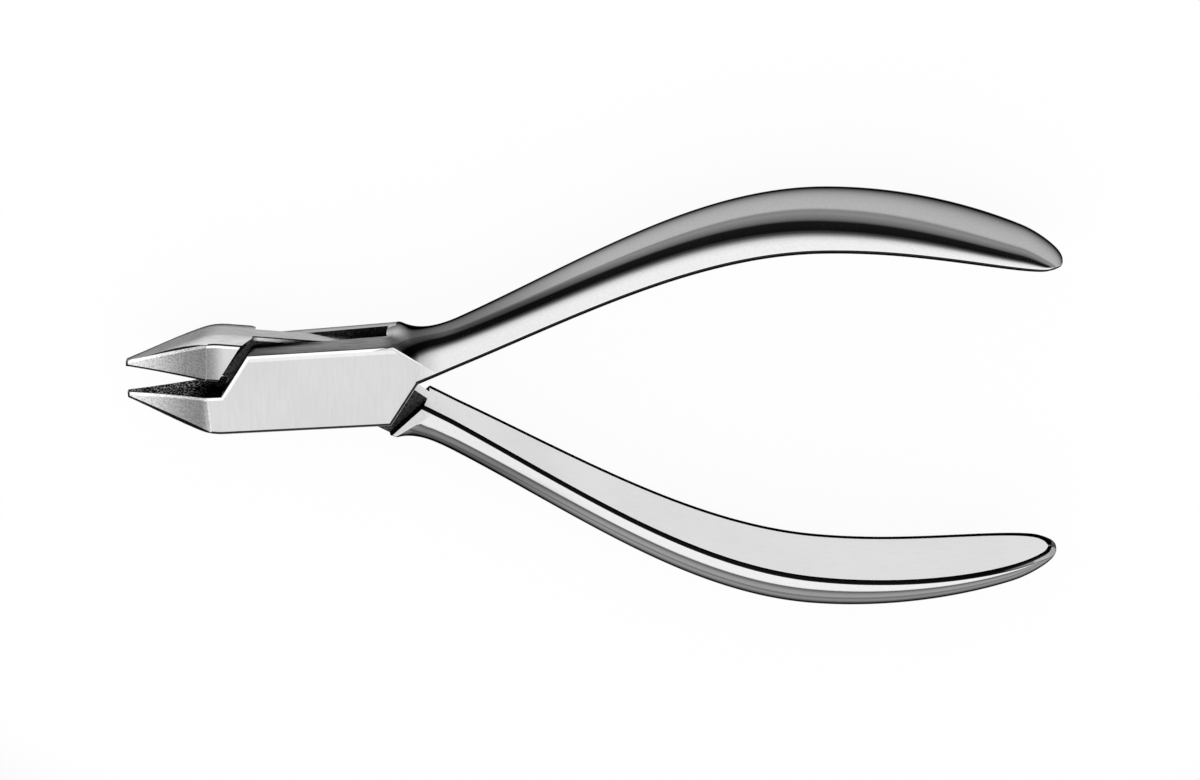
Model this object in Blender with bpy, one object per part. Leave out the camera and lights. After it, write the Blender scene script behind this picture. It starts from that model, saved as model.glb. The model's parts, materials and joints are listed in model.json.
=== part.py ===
"""Orthodontic pliers with a box joint: two forged limbs and one pivot pin.

The pliers lie flat. The origin is on the pivot's axis, at the joint's front face.
-X runs out along the jaws, +X along the handles, and +Z is the pivot's axis.
Each limb is drawn as it lies when the jaws are closed, and is then turned about
the pivot by half of the opening.
"""

import math

import bmesh
import bpy
from mathutils import Vector

# Opening at which the pliers lie, jaw to jaw
OPENING = math.radians(7.8)

# Box joint
PLATE_THICKNESS = 0.0026        # each of the two plates that close in the tongue
SLOT_WIDTH = 0.0026             # between the plates
TONGUE_CLEARANCE = 0.0003       # from the tongue to each plate
BOX_HEIGHT = 0.0111             # across the joint's flat faces
CROWN = 0.0006                  # how far the joint's edges rise in the middle, at the jaws
HANDLE_CROWN = 0.0012           # and where the handles start
HANDLE_RISE = 0.0002            # how far the flat faces widen towards the handles
PLATE_EDGE_TOP = 0.00915        # pivot to the plate's slanted edge, at its outer end
PLATE_EDGE_FOOT = 0.01335       # and at its inner end, where the jaw's face begins
SLOT_END_TOP = 0.0093           # pivot to the end of the slot, at the outer edge
SLOT_END_FOOT = 0.0152          # and at the inner side
TONGUE_TOP_END = 0.0010         # where the tongue's edges turn inward, past the pivot
TONGUE_ROOT_START = 0.0075      # where the tongue begins to widen into its handle
FACE_EDGE_WIDTH = 0.00035       # eased edges round the joint's flat faces
FACE_EDGE_DEPTH = 0.00010
HANDLE_ROOT_TOP = 0.0106        # the flat face runs out on the round handle along a line
HANDLE_ROOT_SIDE = 0.0144       # through these two places
HANDLE_ROOT_HEIGHT = 0.0029
HANDLE_SINK = 0.00002           # how far the handle's form lies below the flat face

# Shoulders of the tongue limb, measured from the plates' slanted edges
JAW_SHOULDER_GAP = 0.00165
JAW_SHOULDER_FOOT_GAP = 0.00038
JAW_SHOULDER_FLARE = 0.0009     # how far the jaw's shoulder leans out over the tongue
HANDLE_SHOULDER_GAP = 0.00095
HANDLE_SHOULDER_FOOT_GAP = 0.00205

# Pivot pin
PIN_RADIUS = 0.0023
PIN_CLEARANCE = 0.0003
FRONT_WALL = 0.0006             # steel left in front of the pin's blind bore
PIN_CHAMFER = 0.00015

# Jaws
JAW_LENGTH = 0.0265             # pivot to tip
JAW_TAPER_START = 0.0152        # pivot to where the jaw begins to narrow
JAW_TIP_HEIGHT = 0.0008
JAW_TIP_WIDTH = 0.0009
JAW_TIP_GAP = 0.0001            # between the closed tips
JAW_ROOT_GAP = 0.0004           # between the closed jaws at the joint

# Handles. Heights are from the middle line to the flat inner face.
HANDLE_REACH = 0.0998           # pivot to the handle's end
HANDLE_LEAN = math.radians(1.45)  # middle line of the handles against that of the jaws
NECK_START = 0.01345
NECK_HEIGHT = 0.00055
NECK_RISE = 0.40                # slope of the inner face as it leaves the joint
BOW_AT = 0.0680
BOW_HEIGHT = 0.0187
END_HEIGHT = 0.0132
END_FALL = 0.31                 # slope of the inner face at the handle's end
NECK_END = 0.0180               # from here the handle widens
NECK_SPREAD = 0.08
GRIP_WIDEST_AT = 0.0770
GRIP_WIDTH = 0.0148
END_BLUNTNESS = 2.6             # exponent of the handle's rounded end
NECK_THICKNESS = 0.0056
NECK_THINNEST_AT = 0.0190
ROOT_THINNING = 0.60            # how fast the handle thins as it leaves the joint
GRIP_THICKNESS = 0.00635
GRIP_THICKEST_AT = 0.0570
END_THICKNESS = 0.0030
END_THINNING = 0.19
END_ROUNDING = 0.0055
HANDLE_EDGE_DEPTH = 0.00042     # chamfer between the flat inner face and the round back
HANDLE_EDGE_WIDTH = 0.00026
END_EDGE_SHARE = 0.2            # most of a thin end that the chamfer may take
LEAST_FACE = 2.0                # depth at which the round back starts, in chamfer depths

# Fineness of the model
HANDLE_STATIONS = 30
END_STATIONS = 9
SECTION_STEPS = 8               # on each half of the round back
PIN_SEGMENTS = 48
SHARP_FROM = math.radians(25)   # edges that turn by more than this are shaded sharp
MITRE_LIMIT = 3.0               # longest corner of an inset outline, in insets

# Values worked out from the sizes above
JOINT_THICKNESS = 2 * PLATE_THICKNESS + SLOT_WIDTH
MIDDLE_Z = -JOINT_THICKNESS / 2
SLOT_FRONT_Z = -PLATE_THICKNESS
SLOT_BACK_Z = -PLATE_THICKNESS - SLOT_WIDTH
HALF_HEIGHT = BOX_HEIGHT / 2
OVERCUT = 0.002                 # how far a cutter runs out past the steel
ROOT_HEIGHT = HALF_HEIGHT + HANDLE_RISE     # of the flat face, where the handle starts
REACH_OUT = ROOT_HEIGHT + HANDLE_CROWN + OVERCUT


def clear_scene():
    for item in list(bpy.data.objects):
        bpy.data.objects.remove(item, do_unlink=True)


def steel(name, colour, roughness):
    material = bpy.data.materials.new(name)
    material.use_nodes = True
    shader = material.node_tree.nodes["Principled BSDF"]
    shader.inputs["Base Color"].default_value = (*colour, 1.0)
    shader.inputs["Metallic"].default_value = 1.0
    shader.inputs["Roughness"].default_value = roughness
    material.diffuse_color = (*colour, 1.0)
    return material


def hermite(start, end, start_slope, end_slope, x):
    """Height at x of the smooth curve between two points with given slopes."""
    span = end[0] - start[0]
    t = (x - start[0]) / span
    return ((2 * t**3 - 3 * t**2 + 1) * start[1]
            + (t**3 - 2 * t**2 + t) * span * start_slope
            + (3 * t**2 - 2 * t**3) * end[1]
            + (t**3 - t**2) * span * end_slope)


def line_x(first, second, y):
    """X at height y on the straight line through two points."""
    return first[0] + (y - first[1]) * (second[0] - first[0]) / (second[1] - first[1])


def mirrored(point):
    """The same point on the other side of the pivot."""
    return (-point[0], -point[1])


# Outlines, all drawn with the jaws closed

def plate_edge():
    """The slanted edge of the plates beside the upper jaw: its foot and its top."""
    return (-PLATE_EDGE_FOOT, -JAW_ROOT_GAP / 2), (-PLATE_EDGE_TOP, HALF_HEIGHT)


def jaw_shoulder():
    foot, top = plate_edge()
    return ((foot[0] - JAW_SHOULDER_FOOT_GAP, JAW_ROOT_GAP / 2),
            (top[0] - JAW_SHOULDER_GAP, top[1]))


def handle_shoulder():
    foot, low = (mirrored(point) for point in plate_edge())
    return ((foot[0] + HANDLE_SHOULDER_FOOT_GAP, foot[1]),
            (low[0] + HANDLE_SHOULDER_GAP, low[1]))


def slot_end():
    """The slot's end wall in the handle's root, from its foot to its top."""
    return (SLOT_END_FOOT, JAW_ROOT_GAP / 2), (SLOT_END_TOP, ROOT_HEIGHT + HANDLE_CROWN)


def box_outline(share):
    """Lower jaw and box, seen from the front, with a share of the crown."""
    foot, top = plate_edge()
    height = HALF_HEIGHT + share * CROWN
    corner = (line_x(foot, top, height), height)
    return [
        (-JAW_LENGTH, -JAW_TIP_GAP / 2),
        (-JAW_LENGTH, -JAW_TIP_GAP / 2 - JAW_TIP_HEIGHT),
        (-JAW_TAPER_START, -height),
        mirrored(corner),
        mirrored(foot),
        (HANDLE_ROOT_SIDE, HANDLE_ROOT_HEIGHT),
        (HANDLE_ROOT_TOP, ROOT_HEIGHT + share * HANDLE_CROWN),
        corner,
        foot,
    ]


def tongue_outline(share):
    """Upper jaw, tongue and handle root, seen from the front, with a share of the crown."""
    height = HALF_HEIGHT + share * CROWN
    foot = jaw_shoulder()[0]
    neck_x = handle_shoulder()[0][0]
    return [
        (-JAW_LENGTH, JAW_TIP_GAP / 2),
        foot,
        (TONGUE_TOP_END, -HALF_HEIGHT),
        (TONGUE_ROOT_START, -HALF_HEIGHT),
        (HANDLE_ROOT_TOP, -ROOT_HEIGHT - share * HANDLE_CROWN),
        (HANDLE_ROOT_SIDE, -HANDLE_ROOT_HEIGHT),
        lean(neck_x, -flat_height(neck_x)),
        (-TONGUE_TOP_END, height),
        (-JAW_TAPER_START, height),
        (-JAW_LENGTH, JAW_TIP_GAP / 2 + JAW_TIP_HEIGHT),
    ]


def inset(outline, distance):
    """The same outline, drawn in by a distance along each side."""
    result = []
    count = len(outline)
    for index in range(count):
        before = Vector(outline[index - 1])
        here = Vector(outline[index])
        after = Vector(outline[(index + 1) % count])
        along_in = (here - before).normalized()
        along_out = (after - here).normalized()
        normal_in = Vector((-along_in.y, along_in.x))
        normal_out = Vector((-along_out.y, along_out.x))
        half_way = (normal_in + normal_out).normalized()
        reach = distance * min(1 / half_way.dot(normal_out), MITRE_LIMIT)
        result.append(tuple(here + reach * half_way))
    return result


# Handle

def flat_height(x):
    """Height of the handle's flat inner face above the handles' middle line."""
    if x < NECK_START:
        return NECK_HEIGHT + (x - NECK_START) * NECK_RISE
    if x < BOW_AT:
        return hermite((NECK_START, NECK_HEIGHT), (BOW_AT, BOW_HEIGHT), NECK_RISE, 0, x)
    return hermite((BOW_AT, BOW_HEIGHT), (HANDLE_REACH, END_HEIGHT), 0, -END_FALL, x)


def half_width(x):
    """Half of the handle's width along the pivot's axis."""
    neck = JOINT_THICKNESS / 2 - HANDLE_SINK
    grip = GRIP_WIDTH / 2
    if x < NECK_END:
        return neck
    if x < GRIP_WIDEST_AT:
        return hermite((NECK_END, neck), (GRIP_WIDEST_AT, grip), NECK_SPREAD, 0, x)
    share = (x - GRIP_WIDEST_AT) / (HANDLE_REACH - GRIP_WIDEST_AT)
    return grip * max(0.0, 1 - share**END_BLUNTNESS) ** (1 / END_BLUNTNESS)


def thickness(x, side):
    """Thickness of the handle, from its flat inner face to its round back.

    At the root the back starts level with the crowned edge of the joint.
    """
    corner = ROOT_HEIGHT + HANDLE_CROWN + side * HANDLE_ROOT_TOP * math.sin(HANDLE_LEAN)
    root = (HANDLE_ROOT_TOP, corner - flat_height(HANDLE_ROOT_TOP))
    neck = (NECK_THINNEST_AT, NECK_THICKNESS)
    grip = (GRIP_THICKEST_AT, GRIP_THICKNESS)
    end = (HANDLE_REACH, END_THICKNESS)
    if x < root[0]:
        return root[1]
    if x < neck[0]:
        return hermite(root, neck, -ROOT_THINNING, 0, x)
    if x < grip[0]:
        return hermite(neck, grip, 0, 0, x)
    plain = hermite(grip, end, 0, -END_THINNING, x)
    past = max(0.0, x - (HANDLE_REACH - END_ROUNDING)) / END_ROUNDING
    return plain * math.sqrt(max(0.0, 1 - past**2))


def face_share(x, side):
    """Share of the handle's thickness, from its inner face, that the joint's flat takes up."""
    turn = side * math.sin(HANDLE_LEAN)
    fall = (HANDLE_ROOT_HEIGHT - ROOT_HEIGHT) / (HANDLE_ROOT_SIDE - HANDLE_ROOT_TOP)
    at_pivot = ROOT_HEIGHT - fall * HANDLE_ROOT_TOP
    line = (at_pivot + (fall + turn) * x) / (1 - fall * turn)
    share = (line - flat_height(x)) / thickness(x, side)
    most = ROOT_HEIGHT / (ROOT_HEIGHT + HANDLE_CROWN)
    return min(share, most)


def lean(x, y):
    """A point of the handle, turned from the handles' middle line to the jaws'."""
    return (x * math.cos(HANDLE_LEAN) + y * math.sin(HANDLE_LEAN),
            y * math.cos(HANDLE_LEAN) - x * math.sin(HANDLE_LEAN))


def handle_section(x, side):
    """One ring of the handle: flat inner face, chamfers, and the round back behind them.

    Near the joint the back is an ellipse that the joint's flat faces cut.
    """
    flat = flat_height(x)
    wide = half_width(x)
    thick = thickness(x, side)
    edge_depth = min(HANDLE_EDGE_DEPTH, END_EDGE_SHARE * thick)
    edge_width = min(HANDLE_EDGE_WIDTH, END_EDGE_SHARE * wide)
    cut = max(face_share(x, side), LEAST_FACE * edge_depth / thick)
    half = [(0.0, wide - edge_width), (edge_depth, wide)]
    start = math.asin(cut)
    for step in range(SECTION_STEPS + 1):
        angle = start + (math.pi / 2 - start) * step / SECTION_STEPS
        half.append((thick * math.sin(angle), wide * math.cos(angle) / math.cos(start)))
    other_half = [(out, -across) for out, across in reversed(half[:-1])]
    ring = []
    for out, across in half + other_half:
        px, py = lean(x, side * (flat + out))
        ring.append((px, py, MIDDLE_Z + across))
    return ring


def handle_places():
    """Where along the handle the sections stand, closer together at its round end."""
    start = PLATE_EDGE_TOP - OVERCUT
    end_start = HANDLE_REACH - 2 * END_ROUNDING
    places = [start + (end_start - start) * step / HANDLE_STATIONS
              for step in range(HANDLE_STATIONS)]
    for step in range(END_STATIONS):
        turn = math.pi / 2 * step / END_STATIONS
        places.append(end_start + 2 * END_ROUNDING * math.sin(turn))
    return places


# Meshes

def finish_mesh(name, bm):
    bmesh.ops.recalc_face_normals(bm, faces=bm.faces)
    bmesh.ops.triangulate(bm, faces=bm.faces)
    mesh = bpy.data.meshes.new(name)
    bm.to_mesh(mesh)
    bm.free()
    mesh.shade_smooth()
    mesh.set_sharp_from_angle(angle=SHARP_FROM)
    return mesh


def rings_mesh(name, rings):
    """A closed body through rings of equally many points."""
    bm = bmesh.new()
    loops = [[bm.verts.new(point) for point in ring] for ring in rings]
    count = len(loops[0])
    for near, far in zip(loops, loops[1:]):
        for index in range(count):
            after = (index + 1) % count
            bm.faces.new((near[index], near[after], far[after], far[index]))
    bm.faces.new(list(reversed(loops[0])))
    bm.faces.new(loops[-1])
    return finish_mesh(name, bm)


def layers_mesh(name, layers):
    """A closed body through flat outlines that lie at given heights."""
    return rings_mesh(name, [[(x, y, z) for x, y in outline] for z, outline in layers])


def cylinder_mesh(name, radius, low, high, chamfer=0.0):
    profile = [(low, radius - chamfer), (low + chamfer, radius),
               (high - chamfer, radius), (high, radius - chamfer)]
    if chamfer == 0:
        profile = [(low, radius), (high, radius)]
    rings = []
    for z, r in profile:
        turns = [2 * math.pi * step / PIN_SEGMENTS for step in range(PIN_SEGMENTS)]
        rings.append([(r * math.cos(turn), r * math.sin(turn), z) for turn in turns])
    return rings_mesh(name, rings)


def limb_layers(outline):
    """The layers of a limb's flat part: eased faces and crowned edges."""
    face = outline(0.0)
    crowned = outline(1.0)
    eased = inset(face, FACE_EDGE_WIDTH)
    back = -JOINT_THICKNESS
    return [
        (back, eased),
        (back + FACE_EDGE_DEPTH, face),
        (SLOT_BACK_Z, crowned),
        (SLOT_FRONT_Z, crowned),
        (-FACE_EDGE_DEPTH, face),
        (0.0, eased),
    ]


def jaw_taper_mesh(name, face_z):
    """A wedge that narrows both jaws towards their tips, from one of the faces."""
    outward = 1 if face_z > MIDDLE_Z else -1
    tip_z = MIDDLE_Z + outward * JAW_TIP_WIDTH / 2
    far_x = JAW_LENGTH + OVERCUT
    slope = (face_z - tip_z) / (JAW_LENGTH - JAW_TAPER_START)
    far_z = face_z - slope * (far_x - JAW_TAPER_START)
    clear_z = face_z + outward * OVERCUT
    near_x = JAW_TAPER_START
    profile = [(-near_x, face_z), (-near_x, clear_z), (-far_x, clear_z), (-far_x, far_z)]
    return rings_mesh(name, [[(x, y, z) for x, z in profile] for y in (-REACH_OUT, REACH_OUT)])


def slot_mesh():
    """The slot through the box, from one end wall to the other."""
    foot, top = slot_end()
    past_foot = (line_x(foot, top, -JAW_ROOT_GAP), -JAW_ROOT_GAP)
    past_top = (line_x(foot, top, REACH_OUT), REACH_OUT)
    right = [(past_foot[0], -REACH_OUT), past_foot, past_top]
    outline = right + [mirrored(point) for point in right]
    return layers_mesh("slot_cut", [(SLOT_BACK_Z, outline), (SLOT_FRONT_Z, outline)])


def pocket_outline(flare):
    """The recess beside the tongue, between the two shoulders of the tongue limb."""
    jaw_foot, jaw_top = jaw_shoulder()
    flared_top = (jaw_top[0] + flare, jaw_top[1])
    handle_foot, handle_low = handle_shoulder()
    clear = JAW_SHOULDER_GAP
    return [
        (line_x(handle_foot, handle_low, -REACH_OUT), -REACH_OUT),
        handle_foot,
        (handle_foot[0] + clear, REACH_OUT),
        (line_x(jaw_foot, flared_top, REACH_OUT), REACH_OUT),
        jaw_foot,
        (jaw_foot[0] - clear, -JAW_ROOT_GAP),
        (jaw_foot[0] - clear, -REACH_OUT),
    ]


def pocket_mesh(name, face_z):
    outward = 1 if face_z > MIDDLE_Z else -1
    floor_z = MIDDLE_Z + outward * (SLOT_WIDTH / 2 - TONGUE_CLEARANCE)
    open_outline = pocket_outline(0.0)
    layers = [
        (floor_z, pocket_outline(JAW_SHOULDER_FLARE)),
        (face_z, open_outline),
        (face_z + outward * OVERCUT, open_outline),
    ]
    return layers_mesh(name, layers)


# Sub-parts

def add_object(name, mesh, material=None, parent=None):
    item = bpy.data.objects.new(name, mesh)
    bpy.context.scene.collection.objects.link(item)
    if material:
        mesh.materials.append(material)
    item.parent = parent
    return item


def combine(limb, mesh, operation):
    """Join a form to a limb, or cut it away, and keep the form as a hidden guide."""
    guide = add_object(mesh.name, mesh, parent=limb)
    guide.hide_render = True
    guide.display_type = "WIRE"
    step = limb.modifiers.new(mesh.name, "BOOLEAN")
    step.operation = operation
    step.solver = "EXACT"
    step.object = guide


def add_limb(name, outline, handle_side, material):
    limb = add_object(name, layers_mesh(name, limb_layers(outline)), material)
    rings = [handle_section(x, handle_side) for x in handle_places()]
    combine(limb, rings_mesh(name + "_handle_form", rings), "UNION")
    for label, face_z in (("front", 0.0), ("back", -JOINT_THICKNESS)):
        combine(limb, jaw_taper_mesh(f"{name}_taper_{label}", face_z), "DIFFERENCE")
    return limb


def add_box_limb(material):
    limb = add_limb("box_limb", box_outline, 1, material)
    combine(limb, slot_mesh(), "DIFFERENCE")
    bore = cylinder_mesh("box_bore_cut", PIN_RADIUS + PIN_CLEARANCE,
                         -JOINT_THICKNESS - OVERCUT, -FRONT_WALL)
    combine(limb, bore, "DIFFERENCE")
    limb.rotation_euler.z = OPENING / 2
    return limb


def add_tongue_limb(material):
    limb = add_limb("tongue_limb", tongue_outline, -1, material)
    for label, face_z in (("front", 0.0), ("back", -JOINT_THICKNESS)):
        combine(limb, pocket_mesh(f"tongue_pocket_{label}", face_z), "DIFFERENCE")
    bore = cylinder_mesh("tongue_bore_cut", PIN_RADIUS + PIN_CLEARANCE,
                         -JOINT_THICKNESS - OVERCUT, OVERCUT)
    combine(limb, bore, "DIFFERENCE")
    limb.rotation_euler.z = -OPENING / 2
    return limb


def add_pivot_pin(material):
    front = -FRONT_WALL - PIN_CLEARANCE
    mesh = cylinder_mesh("pivot_pin", PIN_RADIUS, -JOINT_THICKNESS, front, PIN_CHAMFER)
    return add_object("pivot_pin", mesh, material)


def build():
    clear_scene()
    forged_steel = steel("polished_forged_steel", (0.62, 0.62, 0.63), 0.22)
    pin_steel = steel("ground_pin_steel", (0.55, 0.55, 0.56), 0.30)
    add_box_limb(forged_steel)
    add_tongue_limb(forged_steel)
    add_pivot_pin(pin_steel)


build()
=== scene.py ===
# %% [markdown]
# # Orthodontic pliers
# These are slim steel pliers for bending fine wire. Two forged limbs cross in a box
# joint: one limb is slotted, and the other passes through the slot as a thin tongue.
# The imported model is the fixed frame. It already has the right sizes, so this lesson
# makes a finer surface for each of its pieces, and then the finishes that a polisher
# leaves on them, with light and shade painted into some of them. Everything is in metres.

import json
import math

import bmesh
import bpy
from mathutils import Matrix, Vector


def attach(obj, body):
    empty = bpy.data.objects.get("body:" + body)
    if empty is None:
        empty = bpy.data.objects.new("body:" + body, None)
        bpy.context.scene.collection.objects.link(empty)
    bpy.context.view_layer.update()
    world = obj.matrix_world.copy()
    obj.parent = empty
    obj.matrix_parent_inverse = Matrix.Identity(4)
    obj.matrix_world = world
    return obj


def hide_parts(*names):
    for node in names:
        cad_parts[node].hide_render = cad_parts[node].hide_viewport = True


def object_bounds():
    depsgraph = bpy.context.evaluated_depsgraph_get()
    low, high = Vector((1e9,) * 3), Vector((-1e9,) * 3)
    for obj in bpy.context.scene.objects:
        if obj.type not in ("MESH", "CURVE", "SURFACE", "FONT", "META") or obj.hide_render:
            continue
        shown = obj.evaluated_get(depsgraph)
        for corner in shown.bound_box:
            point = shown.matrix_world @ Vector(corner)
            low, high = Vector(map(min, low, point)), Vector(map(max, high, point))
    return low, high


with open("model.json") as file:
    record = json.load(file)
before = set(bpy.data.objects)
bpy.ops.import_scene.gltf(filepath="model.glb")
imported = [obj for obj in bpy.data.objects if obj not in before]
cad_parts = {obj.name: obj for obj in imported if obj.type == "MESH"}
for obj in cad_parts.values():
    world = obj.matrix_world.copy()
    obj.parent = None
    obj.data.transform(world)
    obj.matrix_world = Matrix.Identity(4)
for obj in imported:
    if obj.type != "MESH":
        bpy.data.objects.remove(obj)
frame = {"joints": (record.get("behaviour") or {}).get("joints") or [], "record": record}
cad_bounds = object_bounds()

# %% [markdown]
# ## What the frame fixes
# The joint is as thick as the distance between its two mounts, one on each face. The
# hinge says how far the jaws stand open at rest, because its lower limit closes them.
# Each limb is drawn as it lies with the jaws closed, their meeting line on the X axis
# and the pivot at the origin, and is then turned back by half of that opening.

# %% Joint thickness and opening
record = frame["record"]
mounts = {mount["name"]: mount for mount in record["mounts"]}
JOINT_THICKNESS = mounts["joint_face"]["pos_m"][2] - mounts["joint_back"]["pos_m"][2]
MIDDLE_Z = -JOINT_THICKNESS / 2
OPENING = math.radians(-frame["joints"][0]["range_deg"][0])
print(f"joint {JOINT_THICKNESS * 1000:.1f} mm thick, open by {math.degrees(OPENING):.1f} degrees")

# %% [markdown]
# ## Sizes of the box joint and the jaws
# A designer's drawing gives a few sizes, and the rest follows from them. These are the
# drawing's sizes for the box: its two plates, the slot between them, and the slanted
# edges where the tongue limb's shoulders come past.

# %% Box joint and jaws
PLATE_THICKNESS = 0.0026
SLOT_FRONT_Z = -PLATE_THICKNESS
SLOT_BACK_Z = PLATE_THICKNESS - JOINT_THICKNESS
TONGUE_CLEARANCE = 0.00012      # a running gap behind the tongue
TONGUE_PLAY = 0.0006            # and the wider gap that shows in front of it
BOX_HEIGHT = 0.0111
HALF_HEIGHT = BOX_HEIGHT / 2
CROWN = 0.0006                  # how far the joint's edges rise in the middle
HANDLE_CROWN = 0.0012           # and how far a handle's back rises there
HANDLE_RISE = 0.0002            # a handle's root is this much higher than the joint
ROOT_HEIGHT = HALF_HEIGHT + HANDLE_RISE
PLATE_EDGE_TOP = 0.00915
PLATE_EDGE_FOOT = 0.01335
SLOT_END_TOP = 0.0093
SLOT_END_FOOT = 0.0152
TONGUE_TOP_END = 0.0030         # the tongue's top edge turns inward here, past the pivot
TONGUE_FOOT_END = 0.0010        # and its lower edge turns outward between these two
TONGUE_ROOT_START = 0.0075
FACE_EDGE_WIDTH = 0.00038       # eased edges round the flat faces
# The stoned lines below are strips whose colour is painted almost black: a painted dark line.
FACE_LINE = 0.00020             # stoned line at their outer rim
SIDE_LINE = 0.00022             # and on the joint's sides next to it
FACE_EDGE_DEPTH = 0.00010
HANDLE_ROOT_TOP = 0.0106        # the flat faces run out on the handles along this line
HANDLE_ROOT_SIDE = 0.0144
HANDLE_ROOT_HEIGHT = 0.0029
HANDLE_SINK = 0.000002          # the handle's sides lie this deep in the joint's faces
NECK_SINK = 0.0009              # keeps the flat part under the handle's chamfer
JAW_SHOULDER_GAP = 0.00165
JAW_SHOULDER_FOOT_GAP = 0.00038
JAW_SHOULDER_FLARE = 0.0009
HANDLE_SHOULDER_GAP = 0.00095
HANDLE_SHOULDER_FOOT_GAP = 0.00205
PIN_RADIUS = 0.0023
PIN_FIT = 0.00003               # the hairline round the pin's end
FRONT_WALL = 0.0006
PIN_CHAMFER = 0.00008
JAW_LENGTH = 0.0267
JAW_TAPER_START = 0.0152
JAW_TIP_HEIGHT = 0.0008
JAW_TIP_WIDTH = 0.0009
JAW_TIP_GAP = 0.0001
JAW_CORNER_EASE = 0.0016        # how far the jaws' back corners are eased
JAW_ROOT_GAP = 0.0004
OVERCUT = 0.002                 # how far a cutter runs out past the steel
REACH_OUT = ROOT_HEIGHT + HANDLE_CROWN + OVERCUT
print(f"box {BOX_HEIGHT * 1000:.1f} mm high, jaws {JAW_LENGTH * 1000:.1f} mm long")

# %% [markdown]
# ## Sizes of the handles
# Each handle bows out from the joint and comes back in. Its inner face is flat, and its
# back is half-round, so that it lies smoothly in a palm. The heights are measured from
# the middle line between the two handles.

# %% Handles
HANDLE_REACH = 0.0998
HANDLE_LEAN = math.radians(1.45)
NECK_START = 0.01345
NECK_HEIGHT = 0.00055
NECK_RISE = 0.40
BOW_AT = 0.0680                 # the handle stands furthest out here
BOW_HEIGHT = 0.0187
END_HEIGHT = 0.0132
END_FALL = 0.31
NECK_END = 0.0180
NECK_SPREAD = 0.08
GRIP_WIDEST_AT = 0.0770
GRIP_WIDTH = 0.0148
END_BLUNTNESS = 2.6             # two would end the handle in an ellipse
NECK_THICKNESS = 0.0056
NECK_THINNEST_AT = 0.0190
ROOT_THINNING = 0.60
ROOT_FOLLOW = 0.28              # so that the upper back meets the joint's side at a flat angle
ROOT_SINK = 0.00001             # how far the joint's own corner stays under the handle's back
ROOT_FULLNESS = 0.45            # the upper handle's rear half is fuller at its root
ROOT_FULL_END = 0.0180
GRIP_THICKNESS = 0.00635
GRIP_THICKEST_AT = 0.0570
END_THICKNESS = 0.0030
END_THINNING = 0.19
END_ROUNDING = 0.0055
NOSE_LIFT = 0.0009              # the inner face turns up to a round nose at the very end
NOSE_LENGTH = 0.0030
END_SHIFT = 0.00055             # the upper handle ends sooner, and the lower one later
FACE_SHORT = 0.0007             # the flat ends a little before the handle does
FACE_LEAST = 0.00002            # no strip gets thinner than this, so none is empty
HANDLE_EDGE_DEPTH = 0.00036     # chamfer between the flat face and the round back
HANDLE_EDGE_WIDTH = 0.00026
END_EDGE_SHARE = 0.2            # of the handle, where it gets too thin for all of that
# The stoned strips of a handle are painted almost black: painted dark lines along the chamfer.
PAINTED_DARK_SHARE = 0.92             # of the chamfer, at most, is stoned
BACK_LINES = {1: 0.00034, -1: 0.00010}      # stoned line above the chamfer, by side
BACK_LINE_SHARE = 0.6           # of the chamfer's depth, at most
BACK_START = 1.4                # widths of that line from the chamfer to the round back
FLAT_LINE = 0.00040             # stoned line on the flat face
REAR_FLAT_LINE = 0.00085        # wider along the rear edge
print(f"handles {GRIP_WIDTH * 1000:.1f} mm wide, {GRIP_THICKNESS * 1000:.2f} mm thick")

# %% [markdown]
# ## Curves of a handle
# Three smooth curves describe a handle along its length: the height of its flat face,
# its half width, and its thickness. A Hermite curve runs through two points with a
# chosen slope at each, which is how a forging drawing blends one radius into the next.
# It could be drawn by hand with Bezier handles too, but a formula keeps it exact. The
# root of one minus a square rounds the nose like a quarter of an ellipse.

# %% Height, width and thickness along the handle
def hermite(start, end, start_slope, end_slope, x):
    """Height at x of the smooth curve between two points with given slopes."""
    span = end[0] - start[0]
    t = (x - start[0]) / span
    return ((2 * t**3 - 3 * t**2 + 1) * start[1]
            + (t**3 - 2 * t**2 + t) * span * start_slope
            + (3 * t**2 - 2 * t**3) * end[1]
            + (t**3 - t**2) * span * end_slope)


def nose_lift(x):
    """How far the inner face has turned up at x, near the end."""
    past = max(0.0, x - (HANDLE_REACH - NOSE_LENGTH)) / NOSE_LENGTH
    return NOSE_LIFT * (1 - math.sqrt(max(0.0, 1 - past**2)))


def flat_height(x):
    """Height of the flat inner face above the handles' middle line."""
    if x < NECK_START:
        return NECK_HEIGHT + (x - NECK_START) * NECK_RISE
    if x < BOW_AT:
        return hermite((NECK_START, NECK_HEIGHT), (BOW_AT, BOW_HEIGHT), NECK_RISE, 0, x)
    plain = hermite((BOW_AT, BOW_HEIGHT), (HANDLE_REACH, END_HEIGHT), 0, -END_FALL, x)
    return plain + nose_lift(x)


def half_width(x):
    """Half of the handle's width along the pivot's axis."""
    neck = JOINT_THICKNESS / 2 - HANDLE_SINK
    grip = GRIP_WIDTH / 2
    if x < NECK_END:
        return neck
    if x < GRIP_WIDEST_AT:
        return hermite((NECK_END, neck), (GRIP_WIDEST_AT, grip), NECK_SPREAD, 0, x)
    share = (x - GRIP_WIDEST_AT) / (HANDLE_REACH - GRIP_WIDEST_AT)
    return grip * max(0.0, 1 - share**END_BLUNTNESS) ** (1 / END_BLUNTNESS)


def face_width(x, short):
    """Half of the width of a face that ends short of the handle's own end."""
    reach = HANDLE_REACH - GRIP_WIDEST_AT
    if x < GRIP_WIDEST_AT:
        return half_width(x)
    stretched = GRIP_WIDEST_AT + (x - GRIP_WIDEST_AT) * reach / (reach - short)
    return half_width(min(stretched, HANDLE_REACH))


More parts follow.
